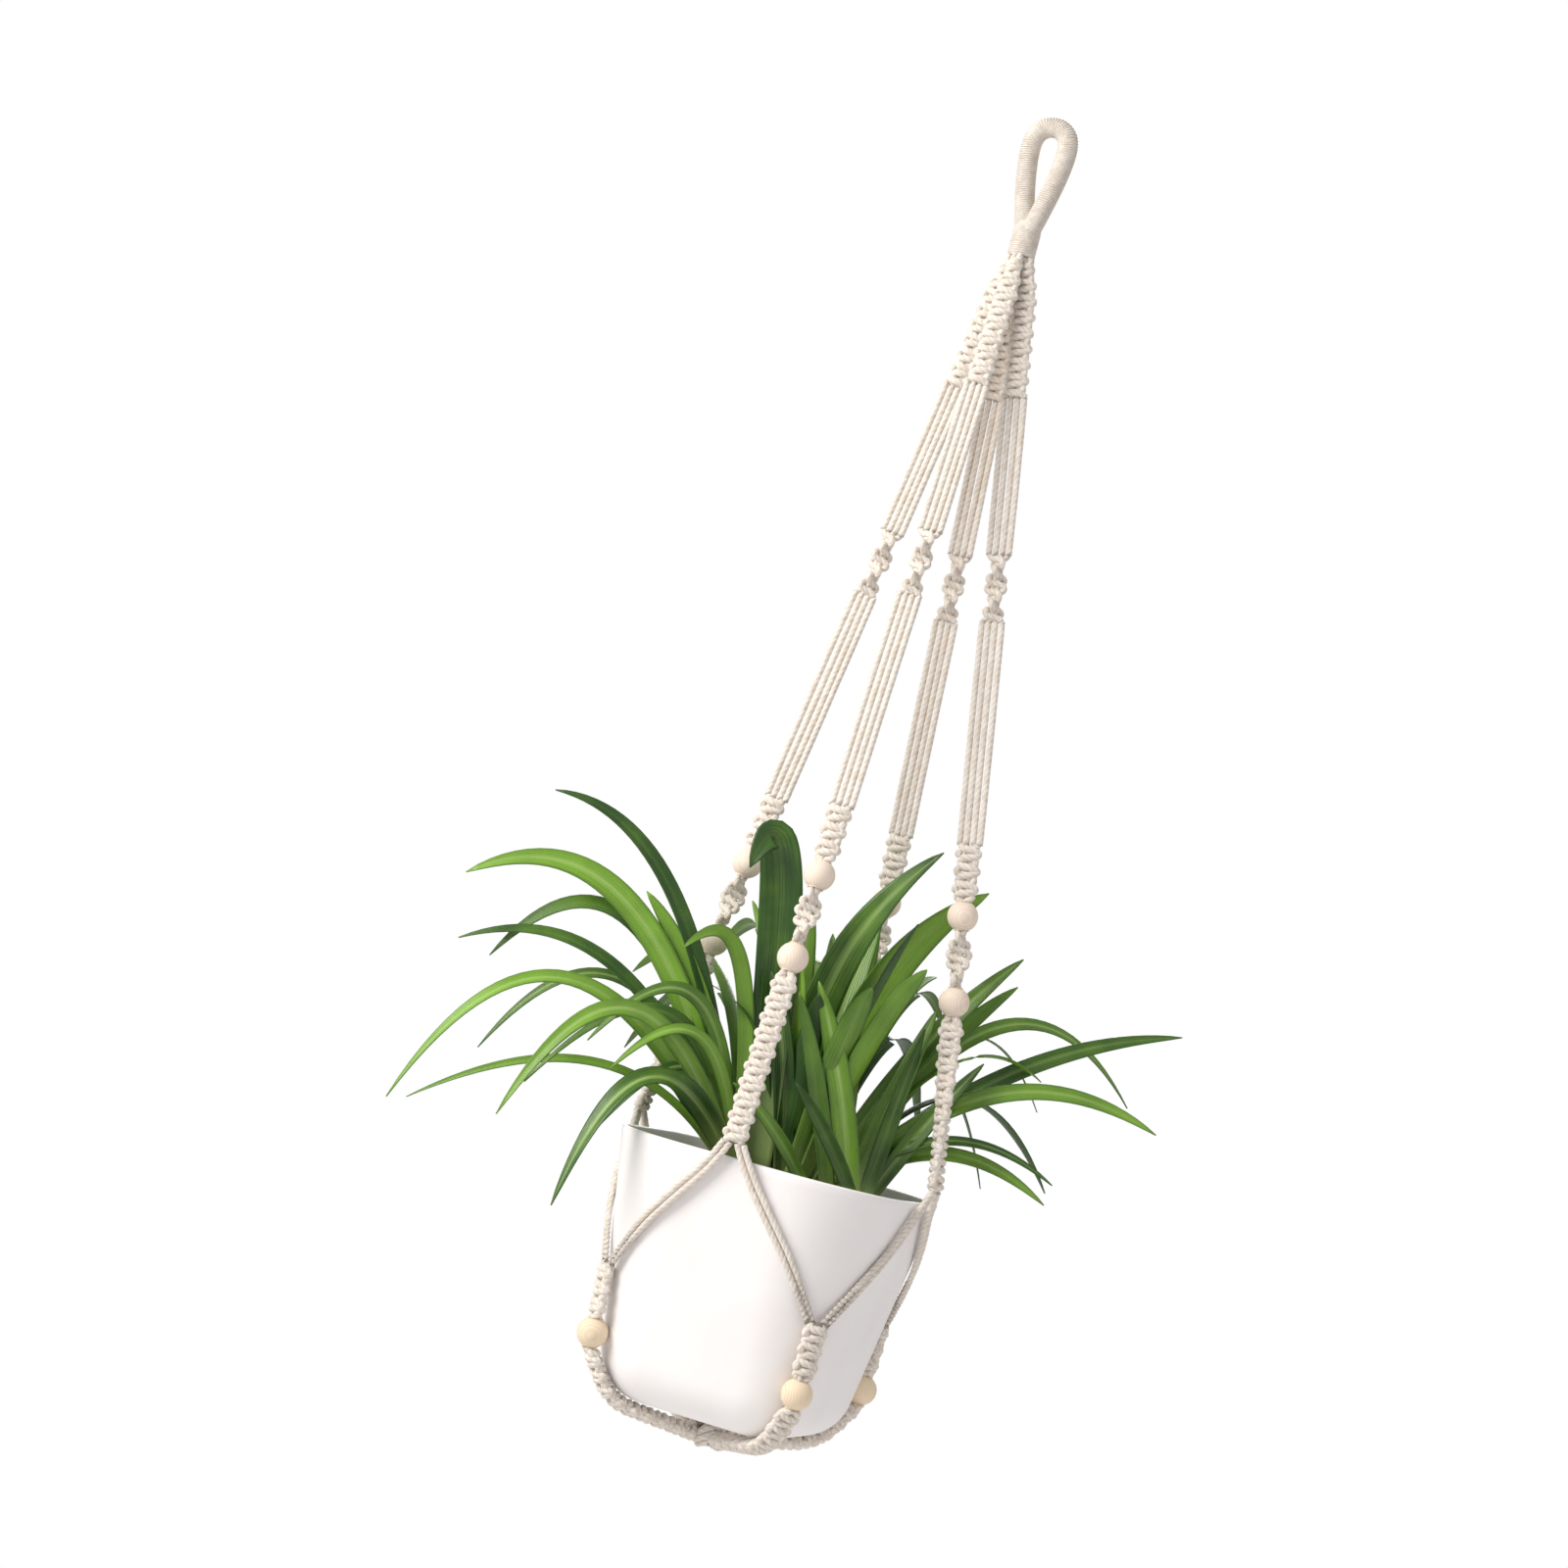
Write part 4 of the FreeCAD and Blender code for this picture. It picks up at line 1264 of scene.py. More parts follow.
@dataclass(frozen=True)
class PotShape:
    """Outline of the pot: a square of straight core with round corners that grow upwards.

    Fields:
        core: half the straight part of a side.
        base_corner: radius of the corners at the base.
        lean: growth of that radius with height.
        base: height of the pot's underside in the planter's frame.
        height: height of the pot.
        foot_round: radius of the foot's rounding.
        wall: thickness of the wall.
        soil_drop: depth of the soil's level below the lip.
    """

    core: float = 31.4 * MM
    base_corner: float = 38.4 * MM
    lean: float = math.tan(math.radians(9.23))
    base: float = -866.0 * MM
    height: float = 167.5 * MM
    foot_round: float = 34.0 * MM
    wall: float = 4.0 * MM
    soil_drop: float = 15.0 * MM

    def corner_round(self, height: float) -> float:
        """Radius of the pot's corners at a height in the planter's frame."""
        return self.base_corner + self.lean * (height - self.base)

    def foot_centre(self) -> float:
        """Corner radius at which the foot's rounding has its centre."""
        return (self.base_corner + self.lean * self.foot_round
                - self.foot_round * math.hypot(1.0, self.lean))

    def soil_level(self) -> float:
        """Height of the soil's surface."""
        return self.base + self.height - self.soil_drop

    def on_face(self, azimuth: float, side: int, along: float, height: float,
                lift: float) -> Vector:
        """Point beside the pot, a distance along its outside from the middle of a face.

        Args:
            azimuth: direction of the face.
            side: 1 or -1, the way round.
            along: distance along the outside.
            height: height in the planter's frame.
            lift: distance off the pot.

        Returns:
            The point.
        """
        bend = self.corner_round(height) + lift
        if along <= self.core:
            across, out = along, self.core + bend
        else:
            angle = (along - self.core) / bend
            across = self.core + bend * math.sin(angle)
            out = self.core + bend * math.cos(angle)
        return (outward(azimuth) * out + sideways(azimuth) * (side * across)
                + UP * height)


@dataclass
class Cradle:
    """Net round the pot: cords below the rim, corner knotting, straps and the knot beneath.

    Fields:
        shape: the pot that it holds.
        arm_end_radius: distance out where an arm ends.
        arm_end_height: height where an arm ends.
        arm_tuck: how far the cords start below that height.
        cord_spread: distance between two of the arm's cords.
        lift: distance of the cords' middles from the pot.
        top_drop: how far below the rim the cords meet the pot.
        fan: distance from the face's middle where they meet it.
        rests: shares of the way to the corner where a cord is laid on the pot.
        pair_pitch: distance between the two cords of a pair.
        join_height: height where the cords meet at a corner.
        join_radius: distance out where they meet.
        end_rise: how far above that height they turn down.
        end_tuck: how far they run on into the corner's knotting.
        corner_length: length of the knotting above a corner bead.
        bead_half: half the length of a bead.
        corner_settle: length over which cords part beside a corner bead.
        strap_lift: distance of a strap's middle from the pot's foot.
        strap_end: distance out and height where a strap ends.
        knot_radius: size of the knot's loops.
        knot_rise: how far the knot's rope rises and falls.
        knot_height: height of the knot's middle.
        bundle_radius: distance of the knot's cords from their rope's middle.
        bundle_lay: length of one twist of the knot's cords.
        bundle_cords: how many cords show in the knot's rope.
        knot_gap: share of the knot's line that is left out at each end.
    """

    shape: PotShape = field(default_factory=PotShape)
    arm_end_radius: float = 104.0 * MM
    arm_end_height: float = -689.0 * MM
    arm_tuck: float = 0.3 * MM
    cord_spread: float = 4.5 * MM
    lift: float = 4.2 * MM
    top_drop: float = 6.0 * MM
    fan: float = 12.0 * MM
    rests: tuple[float, float, float] = (0.0, 0.32, 0.66)
    pair_pitch: float = 4.4 * MM
    join_height: float = -785.0 * MM
    join_radius: float = 101.5 * MM
    end_rise: float = 2.0 * MM
    end_tuck: float = 1.7 * MM
    corner_length: float = 35.0 * MM
    bead_half: float = 9.25 * MM
    corner_settle: float = 3.0 * MM
    strap_lift: float = 5.7 * MM
    strap_end: tuple[float, float] = (11.0 * MM, -878.5 * MM)
    knot_radius: float = 10.6 * MM
    knot_rise: float = 4.2 * MM
    knot_height: float = -876.6 * MM
    bundle_radius: float = 4.0 * MM
    bundle_lay: float = 60.0 * MM
    bundle_cords: int = 6
    knot_gap: float = 0.03

    def face_cord(self, azimuth: float, side: int, place: int) -> Path:
        """Control points of a cord from the rim to a corner.

        Args:
            azimuth: direction of the face that it crosses.
            side: 1 or -1, the way round to its corner.
            place: 0 for the cord nearer the face's middle, 1 for the one nearer the corner.

        Returns:
            The points.
        """
        top = self.shape.base + self.shape.height - self.top_drop
        bottom = self.join_height + self.end_rise
        corner_along = self.shape.core + math.pi / 4.0 * (
            self.shape.corner_round(bottom) + self.lift)
        run = corner_along - self.fan
        steep = math.hypot(run, bottom - top)
        shift = (place - 0.5) * self.pair_pitch
        points = [outward(azimuth) * self.arm_end_radius
                  + sideways(azimuth) * (side * (0.5 + place) * self.cord_spread)
                  + UP * (self.arm_end_height - self.arm_tuck)]
        for share in self.rests:
            along = self.fan + share * run - (bottom - top) / steep * shift
            height = top + share * (bottom - top) + run / steep * shift
            points.append(self.shape.on_face(azimuth, side, along, height, self.lift))
        corner = azimuth + side * 45.0
        points.append(outward(corner) * self.join_radius + UP * (bottom - self.end_tuck)
                      - sideways(corner) * (side * (1.5 - place) * self.cord_spread))
        return points

    def corner(self, name: str, azimuth: float, cord: Cordage) -> None:
        """Builds the knotting of one corner, above and below its bead.

        Args:
            name: the corner's name.
            azimuth: its direction.
            cord: the kind of cord.
        """
        middle, axis = bead_joint(name + "_corner_bead")
        top = outward(azimuth) * self.join_radius + UP * self.join_height
        track = StraightTrack(axes(top, axis, sideways(azimuth)))
        sennit = Sennit(track, 0.0, self.corner_length, bead_below=True,
                        settle=self.corner_settle)
        node = name + "_corner_sennit"
        through = squeezed(track, self.corner_length, 2.0 * self.bead_half)
        present(joined(node + "_cords", [cord.plumper().mesh(node, sennit.paths()),
                                         cord.mesh(node + "_core", through, 6)]),
                Finish.COTTON, node)

        out = outward(azimuth)
        below = middle + axis * self.bead_half
        shape = self.shape
        centre = (math.sqrt(2.0) * shape.core + shape.foot_centre(),
                  shape.base + shape.foot_round)
        strap = FootTrack(azimuth, (below.dot(out), below.z), centre,
                          shape.foot_round + self.strap_lift, self.strap_end)
        node = name + "_base_sennit"
        sennit = Sennit(strap, 0.0, strap.length, bead_above=True, settle=self.corner_settle)
        present(joined(node + "_cords", [cord.plumper().mesh(node, sennit.paths())]),
                Finish.COTTON, node)

    def base_knot(self, cord: Cordage) -> None:
        """Builds the overhand knot that ties the four straps together under the pot."""
        line = []
        count = 44
        # a trefoil, open where its ends tuck in
        for step in range(count + 1):
            turn = math.tau * (self.knot_gap + (1.0 - 2.0 * self.knot_gap) * step / count)
            line.append(Vector((
                self.knot_radius / 3.0 * (math.sin(turn) + 2.0 * math.sin(2.0 * turn)),
                self.knot_radius / 3.0 * (math.cos(turn) - 2.0 * math.cos(2.0 * turn)),
                self.knot_height - self.knot_rise * math.sin(3.0 * turn))))
        line = sampled(line, 4)
        strands = []
        for number in range(self.bundle_cords):
            strands.append(wound_round(line, self.bundle_radius, self.bundle_lay, 16,
                                       number / self.bundle_cords))
        present(joined("gathered_knot", [cord.mesh("gathered_knot", strands, 3)]),
                Finish.COTTON, "base_knot")

    def build(self, cord: Cordage) -> None:
        """Builds the whole cradle."""
        for side_name, azimuth in ARMS.items():
            paths = [self.face_cord(azimuth, side, place) for side in (-1, 1) for place in (0, 1)]
            node = side_name + "_cradle_cords"
            present(joined(node + "_strands", [cord.mesh(node, paths, 14)]),
                    Finish.COTTON, node)
        for name, azimuth in CORNERS.items():
            self.corner(name, azimuth, cord)
        self.base_knot(cord)


@dataclass
class Pot:
    """White pot with leaning walls, soft corners, a rounded foot and a rounded lip.

    Fields:
        shape: its measures.
        corner_points: points on each of its corners.
        lip: height of the lip's rounding.
        wall_shares: heights of the wall's rings, as shares of the height below the lip.
        soil_gap: distance of the soil from the wall.
        bed_taper: how much smaller the soil's corners are at the bottom of its bed.
        bed_depth: depth of the bed.
        bed_edge: how far the bed's edge lies below the soil's level.
        bed_share: size of the surface's outermost ring, as a share of the edge.
        lumps: height and breadth of the soil's lumps.
        grit: height and breadth of its smaller unevenness.
        sunk: how far the uneven surface lies below the soil's level on the whole.
        chips: how many bits of bark lie on it.
        chip_sizes: least and most half length, half width and half thickness of a bit.
        chip_tilt: how far a bit may tilt, in radians.
        chip_spread: how far out the bits lie, as a share of the soil's half width.
        chip_depth: how far below the soil's level their middles lie.
    """

    shape: PotShape = field(default_factory=PotShape)
    corner_points: int = 17
    lip: float = 1.3 * MM
    wall_shares: tuple[float, ...] = (0.15, 0.35, 0.55, 0.75, 0.9, 0.97)
    soil_gap: float = 0.3 * MM
    bed_taper: float = 3.0 * MM
    bed_depth: float = 16.0 * MM
    bed_edge: float = 1.5 * MM
    bed_share: float = 0.99
    lumps: tuple[float, float] = (1.8 * MM, 14.0 * MM)
    grit: tuple[float, float] = (0.7 * MM, 4.0 * MM)
    sunk: float = 1.2 * MM
    chips: int = 300
    chip_sizes: tuple[tuple[float, float], ...] = ((1.5, 5.0), (1.0, 2.6), (0.6, 1.4))
    chip_tilt: float = 0.5
    chip_spread: float = 0.80
    chip_depth: float = 0.2 * MM

    def ring(self, work: bmesh.types.BMesh, corner: float, height: float,
             scale: float = 1.0) -> list[bmesh.types.BMEdge]:
        """Adds a rounded square to a bmesh.

        Args:
            work: the bmesh.
            corner: radius of its corners.
            height: its height.
            scale: share of its full size, corners and sides alike.

        Returns:
            Its edges.
        """
        made = bmesh.ops.create_circle(work, segments=4 * self.corner_points, radius=1.0)
        verts = made["verts"]
        for place, vert in enumerate(verts):
            quarter, step = divmod(place, self.corner_points)
            angle = math.pi / 2.0 * (quarter + step / (self.corner_points - 1))
            corner_x = self.shape.core * (1.0 if quarter in (0, 3) else -1.0)
            corner_y = self.shape.core * (1.0 if quarter in (0, 1) else -1.0)
            vert.co = Vector((scale * (corner_x + corner * math.cos(angle)),
                              scale * (corner_y + corner * math.sin(angle)), height))
        return list({edge for vert in verts for edge in vert.link_edges})

    def skin(self, work: bmesh.types.BMesh, rings: list[list[bmesh.types.BMEdge]]) -> None:
        """Bridges each ring to the next and closes the first and the last.

        Args:
            work: the bmesh that holds the rings.
            rings: the edges of each ring.
        """
        for low, high in zip(rings, rings[1:]):
            bmesh.ops.bridge_loops(work, edges=low + high)
        for end in (rings[0], rings[-1]):
            bmesh.ops.contextual_create(work, geom=end)
        bmesh.ops.recalc_face_normals(work, faces=work.faces)

    def profile(self) -> list[tuple[float, float]]:
        """Measures of the pot's rings, up the outside and down the inside.

        Returns:
            Corner radius and height of each ring.
        """
        shape = self.shape
        centre = shape.foot_centre()
        steps = 12
        lip_steps = 6
        first = math.radians(-90.0)
        last = -math.atan(shape.lean)
        angles = [first + (last - first) * step / steps for step in range(steps + 1)]
        outside = [(centre + shape.foot_round * math.cos(a),
                    shape.foot_round + shape.foot_round * math.sin(a)) for a in angles]
        inner = shape.foot_round - shape.wall
        inside = [(centre + inner * math.cos(a), shape.foot_round + inner * math.sin(a))
                  for a in angles]
        top = shape.height
        thick = shape.wall / math.cos(last)
        rim_out = shape.base_corner + shape.lean * top
        wall = []
        for share in self.wall_shares:
            rise = share * (top - self.lip)
            if rise > outside[-1][1]:
                wall.append((shape.base_corner + shape.lean * rise, rise))
        lip = []
        half = thick / 2.0
        for step in range(lip_steps + 1):
            turn = math.pi * step / lip_steps
            lip.append((rim_out - half - self.lip * shape.lean + half * math.cos(turn),
                        top - self.lip + self.lip * math.sin(turn)))
        down = [(r - thick, h) for r, h in reversed(wall)]
        points = outside + wall + lip + down + list(reversed(inside))
        return [(corner, shape.base + height) for corner, height in points]

    def build(self) -> None:
        """Builds the pot."""
        work = bmesh.new()
        self.skin(work, [self.ring(work, corner, height) for corner, height in self.profile()])
        piece = from_bmesh("moulded_pot", work)
        present(piece, Finish.POLYPROPYLENE, "pot")

    def soil(self, draw: random.Random) -> None:
        """Builds the potting mix: a lumpy bed with loose bark on it.

        Args:
            draw: source of the bark's sizes and places.
        """
        shape = self.shape
        level = shape.soil_level()
        thick = shape.wall / math.cos(math.atan(shape.lean))
        corner = shape.corner_round(level) - thick - self.soil_gap
        work = bmesh.new()
        rings = [self.ring(work, corner - self.bed_taper, level - self.bed_depth)]
        rings.append(self.ring(work, corner, level - self.bed_edge))
        ring_count = 16
        for step in range(ring_count):
            share = self.bed_share * (1.0 - step / ring_count)
            rings.append(self.ring(work, corner, level, share))
        for ring in rings[2:]:
            for vert in {vert for edge in ring for vert in edge.verts}:
                place = vert.co.copy()
                for height, breadth in (self.lumps, self.grit):
                    vert.co.z += height * noise.noise(place * (1.0 / breadth))
                vert.co.z -= self.sunk
        self.skin(work, rings)
        spread = self.chip_spread * (shape.core + corner)
        for _ in range(self.chips):
            sides = [draw.uniform(least, most) * MM for least, most in self.chip_sizes]
            size = Matrix.Diagonal((*sides, 1.0))
            spin = Matrix.Rotation(draw.uniform(0.0, math.tau), 4, "Z") @ Matrix.Rotation(
                draw.uniform(-self.chip_tilt, self.chip_tilt), 4, "X")
            reach = spread * math.sqrt(draw.uniform(0.0, 1.0))
            place = Matrix.Translation(outward(draw.uniform(0.0, 360.0)) * reach
                                       + UP * (level - self.chip_depth))
            bmesh.ops.create_icosphere(work, subdivisions=1, radius=1.0,
                                       matrix=place @ spin @ size)
        present(from_bmesh("bark_mix", work, False), Finish.SOIL, "soil")


@dataclass(frozen=True)
class Blade:
    """One arching strap leaf; its lengths are in millimetres.

    Fields:
        azimuth: direction that it grows in, in degrees.
        reach: how far out its tip is.
        tip: height of its tip over the soil.
        arch: height that its arch aims for.
        width: its full width.
        facing: direction that its broad side looks in, in degrees.
        rooted: how far from the middle it is rooted.
        sprout: direction of its root, where it grows across its neighbours.
        crest: how far out its arch aims, as a share of the way from root to tip.
        uprightness: how far its broad side looks level, as a share.
        root_width: its width at the root.
        fullness: how wide it starts, as a share of the half wave that gives its width.
        bluntness: power of that wave; a smaller one gives blunter ends.
        thinnest: least half width.
        most_roll: how far it may turn about its own length, in degrees.
        unturned: where along it that turn is nil.
        channels: least and most depth of its channel, as a share of its half width.
        channel_curve: power of the channel's section.
        waves: height of its edge's waves, as a share of its half width, and their phase.
        across_steps: faces across it.
        along_steps: faces along it.
    """

    azimuth: int
    reach: int
    tip: int
    arch: int
    width: int
    facing: int | None = None
    rooted: int = 31
    sprout: int | None = None
    crest: float = 0.42
    uprightness: ClassVar[float] = 0.68
    root_width: ClassVar[float] = 7.0
    fullness: ClassVar[float] = 0.14
    bluntness: ClassVar[float] = 0.62
    thinnest: ClassVar[float] = 0.3
    most_roll: ClassVar[float] = 26.0
    unturned: ClassVar[float] = 0.3
    channels: ClassVar[tuple[float, float]] = (0.22, 0.45)
    channel_curve: ClassVar[float] = 1.4
    waves: ClassVar[tuple[float, float]] = (0.06, 9.0)
    across_steps: ClassVar[int] = 8
    along_steps: ClassVar[int] = 30

    def look(self) -> Vector:
        """Direction of its broad side: outwards, or inwards on a blade that stands steep."""
        facing = self.facing
        if facing is None:
            facing = self.azimuth if self.reach > self.tip else self.azimuth + 180
        return outward(facing) * self.uprightness + UP * (1.0 - self.uprightness)

    def route(self, soil: float) -> tuple[Vector, Vector, Vector]:
        """Root, aim and tip of its centre-line.

        Args:
            soil: height of the soil.

        Returns:
            The three control points of a parabola.
        """
        sprout = self.azimuth if self.sprout is None else self.sprout
        ground = UP * soil
        root = outward(sprout) * (self.rooted * MM)
        tip = outward(self.azimuth) * (self.reach * MM)
        aim = root.lerp(tip, self.crest) + UP * (self.arch * MM)
        return root + ground, aim + ground, tip + UP * (self.tip * MM) + ground

    def add(self, work: bmesh.types.BMesh, tone: bmesh.types.BMLayerItem, soil: float,
            draw: random.Random) -> None:
        """Adds the blade's surface to a bmesh.

        Args:
            work: the bmesh.
            tone: its layer for how fresh a leaf's green is.
            soil: height of the soil.
            draw: source of the leaf's own twist, channel and tone.
        """
        root, aim, tip = self.route(soil)
        look = self.look()
        roll = math.radians(draw.uniform(-self.most_roll, self.most_roll))
        channel = draw.uniform(*self.channels)
        ripple = draw.uniform(0.0, math.tau)
        shade = draw.uniform(0.0, 1.0)
        full = self.width * MM
        stem = self.root_width * MM
        wave_height, wave_phase = self.waves
        made = bmesh.ops.create_grid(work, x_segments=self.across_steps,
                                     y_segments=self.along_steps, size=0.5, calc_uvs=True)
        for vert in made["verts"]:
            # a runs from edge to edge, t from root to tip and u from tip to root
            a = 2.0 * vert.co.x
            t = vert.co.y + 0.5
            u = 1.0 - t
            centre = root * (u * u) + aim * (2.0 * t * u) + tip * (t * t)
            along = (aim - root) * u + (tip - aim) * t
            side = along.cross(look).normalized()
            face = side.cross(along).normalized()
            swell = max(0.0, math.sin(math.pi * (self.fullness + (1.0 - self.fullness) * t)))
            width = stem * u + (full - stem * u) * swell ** self.bluntness
            half = max(self.thinnest * MM, 0.5 * width)
            turn = 2.0 * roll * (t - self.unturned)
            across = side * math.cos(turn) + face * math.sin(turn)
            up = face * math.cos(turn) - side * math.sin(turn)
            fold = channel * (1.0 - 0.5 * t) * half * (abs(a) ** self.channel_curve - 0.5)
            wave = wave_height * half * math.sin(wave_phase * t + ripple) * a
            vert.co = centre + across * (a * half) + up * (fold + wave)
            vert[tone] = shade


# each row: azimuth, reach, tip, arch and width, then what sets a blade apart
OUTER_BLADES = [
    # left side, from the highest tip down
    Blade(-66, 204, 212, 222, 11, 20),
    Blade(-68, 130, 164, 120, 16, 0),
    Blade(-68, 246, 146, 232, 17, -5, crest=0.5),
    Blade(-72, 112, 140, 95, 15, 30),
    Blade(-40, 112, 134, 200, 11, 20),
    Blade(-70, 240, 104, 170, 9, 10, crest=0.5),
    Blade(-71, 218, 98, 235, 12, 30, crest=0.6),
    Blade(-52, 148, 62, 180, 10, -5),
    Blade(-44, 136, 48, 140, 9, 0),
    Blade(-76, 212, 38, 190, 8, 25, crest=0.6),
    Blade(-60, 176, 26, 170, 10, -10),
    Blade(-55, 126, 8, 120, 8, 5),
    Blade(-46, 200, 4, 175, 12, 0, crest=0.65),
    Blade(-71, 246, -4, 100, 6, 15),
    Blade(-57, 260, -4, 195, 11, -10, crest=0.68),
    Blade(-40, 156, -42, 122, 17, -20, crest=0.78),
    # right side
    Blade(113, 120, 166, 110, 14, 45),
    Blade(114, 234, 162, 130, 12, 35),
    Blade(120, 216, 108, 220, 10, 50),
    Blade(103, 228, 96, 140, 12, 20),
    Blade(101, 172, 48, 90, 7, 30),
    Blade(105, 170, 34, 80, 10, 15),
    # back
    Blade(-112, 172, 112, 200, 15),
    Blade(-122, 196, 60, 200, 15),
    Blade(-134, 170, 140, 230, 16),
    Blade(-146, 184, 40, 190, 15),
    Blade(-158, 150, 120, 220, 14),
    Blade(-168, 140, 20, 150, 12),
    Blade(-170, 120, 130, 190, 14),
    Blade(112, 150, 110, 150, 13),
    Blade(124, 180, 40, 150, 12),
    Blade(138, 182, 90, 200, 15),
    Blade(148, 176, 30, 180, 15),
    Blade(160, 132, 130, 200, 14),
    Blade(167, 168, 50, 200, 15),
]
INNER_BLADES = [
    # the broad blades that stand in the middle
    Blade(-32, 88, 194, 290, 28, 8, 20, crest=0.7),
    Blade(77, 58, 236, 150, 24, 25, 10, crest=-0.9),
    Blade(111, 86, 220, 150, 26, 40, 18, crest=-0.2),
    Blade(108, 118, 184, 120, 15, 30, 24),
    Blade(-26, 54, 134, 90, 15, 25, 12, 38),
    # the front of the right side, where they cross
    Blade(8, 40, 136, 80, 16, 10, 58, 77),
    Blade(-4, 46, 126, 70, 12, 30, 46, 67),
    Blade(-17, 74, 60, 40, 9, -5, 42, 50),
    Blade(14, 60, 70, 40, 10, 15, 66, 72),
    Blade(103, 72, 138, 60, 17, 5, 46, 94),
    Blade(103, 110, 112, 60, 12, 35, 56, 98),
    Blade(99, 68, 124, 60, 11, 20, 58, 92),
    Blade(122, 22, 138, 70, 15, 30, 36, 101),
    # the back
    Blade(-155, 50, 170, 110, 17, -10, 28, 156),
    Blade(172, 50, 186, 120, 14, 40, 34, 155),
    Blade(-74, 62, 176, 140, 20, rooted=20),
    Blade(-112, 60, 160, 120, 17, rooted=9),
    Blade(-138, 66, 190, 140, 18, rooted=20),
    Blade(-166, 48, 180, 130, 18, rooted=9),
    Blade(170, 46, 196, 130, 20, rooted=9),
    Blade(150, 92, 160, 150, 17, rooted=20),
    Blade(84, 50, 188, 130, 20, rooted=9),
    Blade(64, 80, 160, 125, 18, rooted=20),
    Blade(44, 62, 140, 115, 18, rooted=20),
    Blade(12, 42, 128, 100, 17, rooted=9),
    Blade(-16, 40, 150, 110, 18, rooted=9),
    Blade(-40, 66, 110, 100, 13, rooted=9),
]


@dataclass
class Plant:
    """Tuft of arching strap leaves that grow from the middle of the soil.

    Fields:
        soil: height that the leaves are rooted at.
        thickness: thickness of a leaf.
    """

    soil: float = PotShape().soil_level() - 1.0 * MM
    thickness: float = 0.7 * MM

    def tuft(self, name: str, node: str, blades: list[Blade], draw: random.Random) -> None:
        """Builds one set of leaves as one piece.

        Args:
            name: the piece's name.
            node: the CAD node that it stands for.
            blades: its leaves.
            draw: source of the leaves' differences.
        """
        work = bmesh.new()
        tone = work.verts.layers.float.new(TONE)
        work.loops.layers.uv.new(LEAF_UV)
        for blade in blades:
            blade.add(work, tone, self.soil, draw)
        piece = from_bmesh(name, work)
        shell = piece.modifiers.new("blade thickness", "SOLIDIFY")
        shell.thickness = self.thickness
        shell.offset = 0.0
        present(piece, Finish.LEAF, node)

    def build(self, draw: random.Random) -> None:
        """Builds both sets of leaves."""
        self.tuft("outer_foliage", "outer_leaves", OUTER_BLADES, draw)
        self.tuft("inner_foliage", "inner_leaves", INNER_BLADES, draw)


def bead_joint(node: str) -> tuple[Vector, Vector]:
    """Middle and hole direction of a bead, from the joint that it turns on."""
    for joint in frame["joints"]:
        if joint["child"] == node:
            return Vector(joint["pos_m"]), Vector(joint["axis"]).normalized()
    raise KeyError(node)


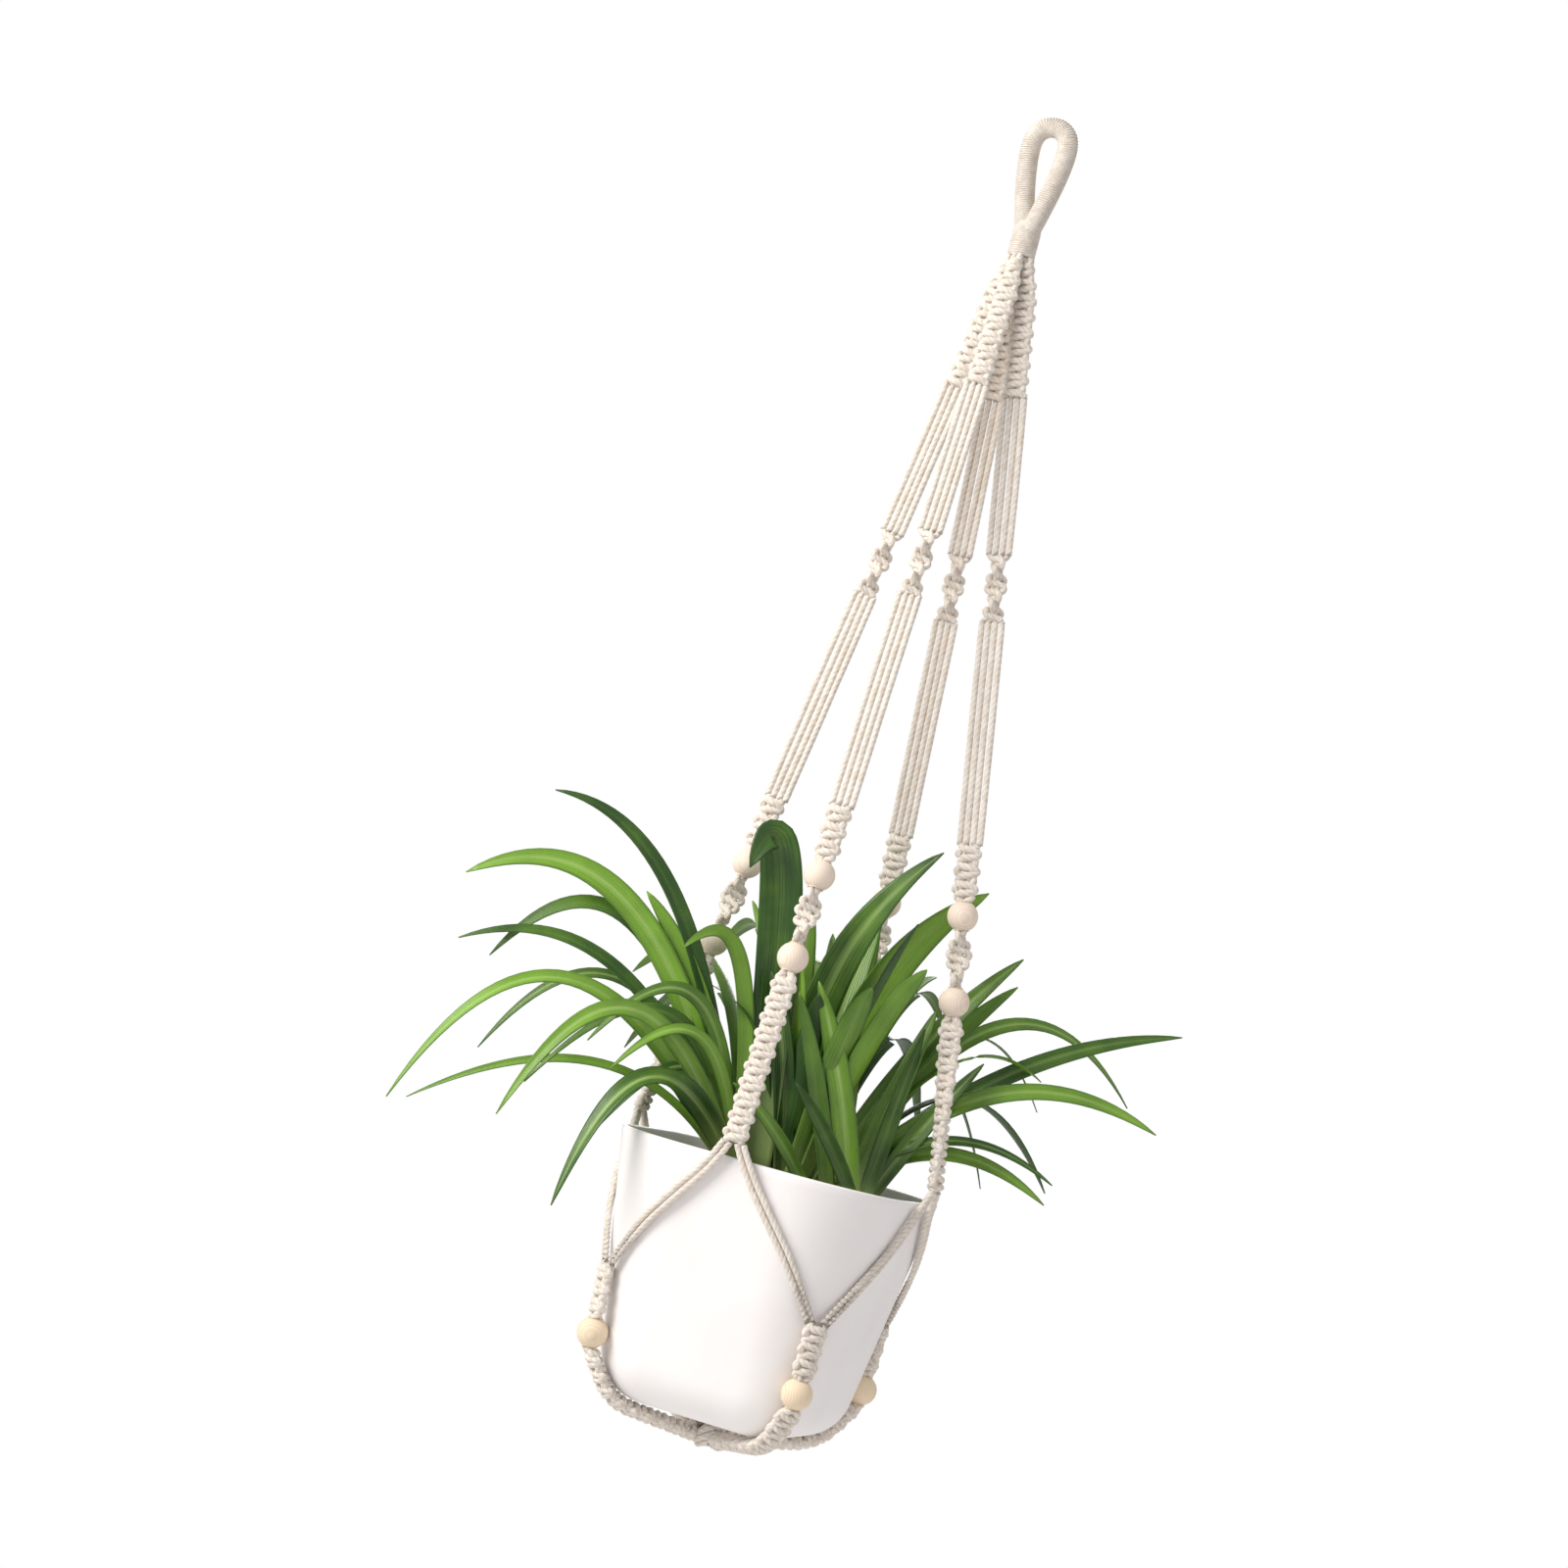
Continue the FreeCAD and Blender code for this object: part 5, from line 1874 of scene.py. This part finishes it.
@dataclass
class Studio:
    """Pale floor, soft lights and the camera.

    Fields:
        floor_height: height of the floor in the planter's frame.
        floor_radius: radius of the floor.
        camera_azimuth: direction of the camera from the planter.
        camera_distance: its distance out.
        camera_height: its height in the planter's frame.
        yaw: how far it looks past the planter's axis, in degrees.
        pitch: how far it looks up, in degrees.
        roll: how far it leans to one side, in degrees.
        lens: its focal length in millimetres.
    """

    floor_height: float = -2.05
    floor_radius: float = 4.0
    camera_azimuth: float = 17.95
    camera_distance: float = 2.1673
    camera_height: float = -0.6117
    yaw: float = 1.63
    pitch: float = 4.01
    roll: float = 14.87
    lens: float = 76.5

    def floor(self) -> None:
        """Builds the floor."""
        work = bmesh.new()
        bmesh.ops.create_circle(work, cap_ends=True, segments=96, radius=self.floor_radius,
                                matrix=Matrix.Translation((0.0, 0.0, self.floor_height)))
        floor = from_bmesh("floor", work, False)
        material, _, shader = new_material("pale_floor")
        shader.inputs["Base Color"].default_value = linear("#FAF8F6")
        shader.inputs["Roughness"].default_value = 0.9
        shader.inputs["Specular IOR Level"].default_value = 0.1
        floor.data.materials.append(material)

    def light(self, name: str, azimuth: float, distance: float, height: float, size: float,
              power: float, colour: str) -> None:
        """Adds a large soft light aimed at the pot.

        Args:
            name: the light's name.
            azimuth: its direction from the planter.
            distance: its distance out.
            height: its height in the planter's frame.
            size: its width.
            power: its power in watts.
            colour: its colour.
        """
        data = bpy.data.lights.new(name, "AREA")
        data.shape = "DISK"
        data.size = size
        data.energy = power
        data.color = linear(colour)[:3]
        lamp = bpy.data.objects.new(name, data)
        bpy.context.scene.collection.objects.link(lamp)
        place = outward(azimuth) * distance + UP * height
        aim = Vector((0.0, 0.0, -0.6)) - place
        turn = aim.to_track_quat("-Z", "Y").to_matrix().to_4x4()
        lamp.matrix_world = Matrix.Translation(place) @ turn

    def camera(self) -> None:
        """Adds the camera, level with the leaves and leaning to one side."""
        data = bpy.data.cameras.new("camera")
        data.lens = self.lens
        data.sensor_width = 36.0
        camera = bpy.data.objects.new("camera", data)
        bpy.context.scene.collection.objects.link(camera)
        bpy.context.scene.camera = camera
        place = outward(self.camera_azimuth) * self.camera_distance + UP * self.camera_height
        level = -outward(self.camera_azimuth + self.yaw)
        rise = math.radians(self.pitch)
        ahead = level * math.cos(rise) + UP * math.sin(rise)
        right = ahead.cross(UP).normalized()
        top = right.cross(ahead)
        lean = math.radians(self.roll)
        x = right * math.cos(lean) + top * math.sin(lean)
        y = top * math.cos(lean) - right * math.sin(lean)
        turn = Matrix((x, y, -ahead)).transposed().to_4x4()
        camera.matrix_world = Matrix.Translation(place) @ turn

    def build(self) -> None:
        """Builds the stage, the lights and the camera."""
        self.camera()
        self.floor()
        world = bpy.data.worlds.new("studio")
        bpy.context.scene.world = world
        world.use_nodes = True
        tree = world.node_tree
        seen = add_node(tree, "ShaderNodeLightPath").outputs["Is Camera Ray"]
        glow = add_node(tree, "ShaderNodeMapRange", {}, {"To Min": 0.56, "To Max": 1.0},
                        {"Value": seen})
        sky = tree.nodes["Background"]
        sky.inputs["Color"].default_value = linear("#FFFFFF")
        tree.links.new(glow.outputs["Result"], sky.inputs["Strength"])
        self.light("key", -42.0, 1.9, 0.4, 1.3, 46.0, "#FFFBF6")
        self.light("rear", 200.0, 2.2, 0.3, 1.5, 22.0, "#FFFDFB")
        self.light("fill", 70.0, 2.4, -0.2, 1.8, 5.0, "#FFF0EC")
        bpy.context.scene.view_settings.view_transform = "Standard"


def main() -> None:
    """Builds the planter, its stage and its lights."""
    logging.basicConfig(level=logging.INFO, format="%(name)s: %(message)s")
    draw = random.Random(7)
    Studio().build()
    HangingEye().build()
    cord = Cordage()
    for side, azimuth in ARMS.items():
        Arm(side, azimuth).build(cord, draw)
    Cradle().build(cord)
    bead = Bead()
    for side in ARMS:
        for level, finish in (("upper", Finish.PALE_BEECH), ("lower", Finish.PALE_BEECH)):
            node = "%s_%s_bead" % (side, level)
            bead.build(node, *bead_joint(node), finish, draw)
    for corner in CORNERS:
        node = corner + "_corner_bead"
        bead.build(node, *bead_joint(node), Finish.TAN_BEECH, draw)
    pot = Pot()
    pot.build()
    pot.soil(draw)
    Plant().build(draw)


if __name__ == "__main__":
    main()
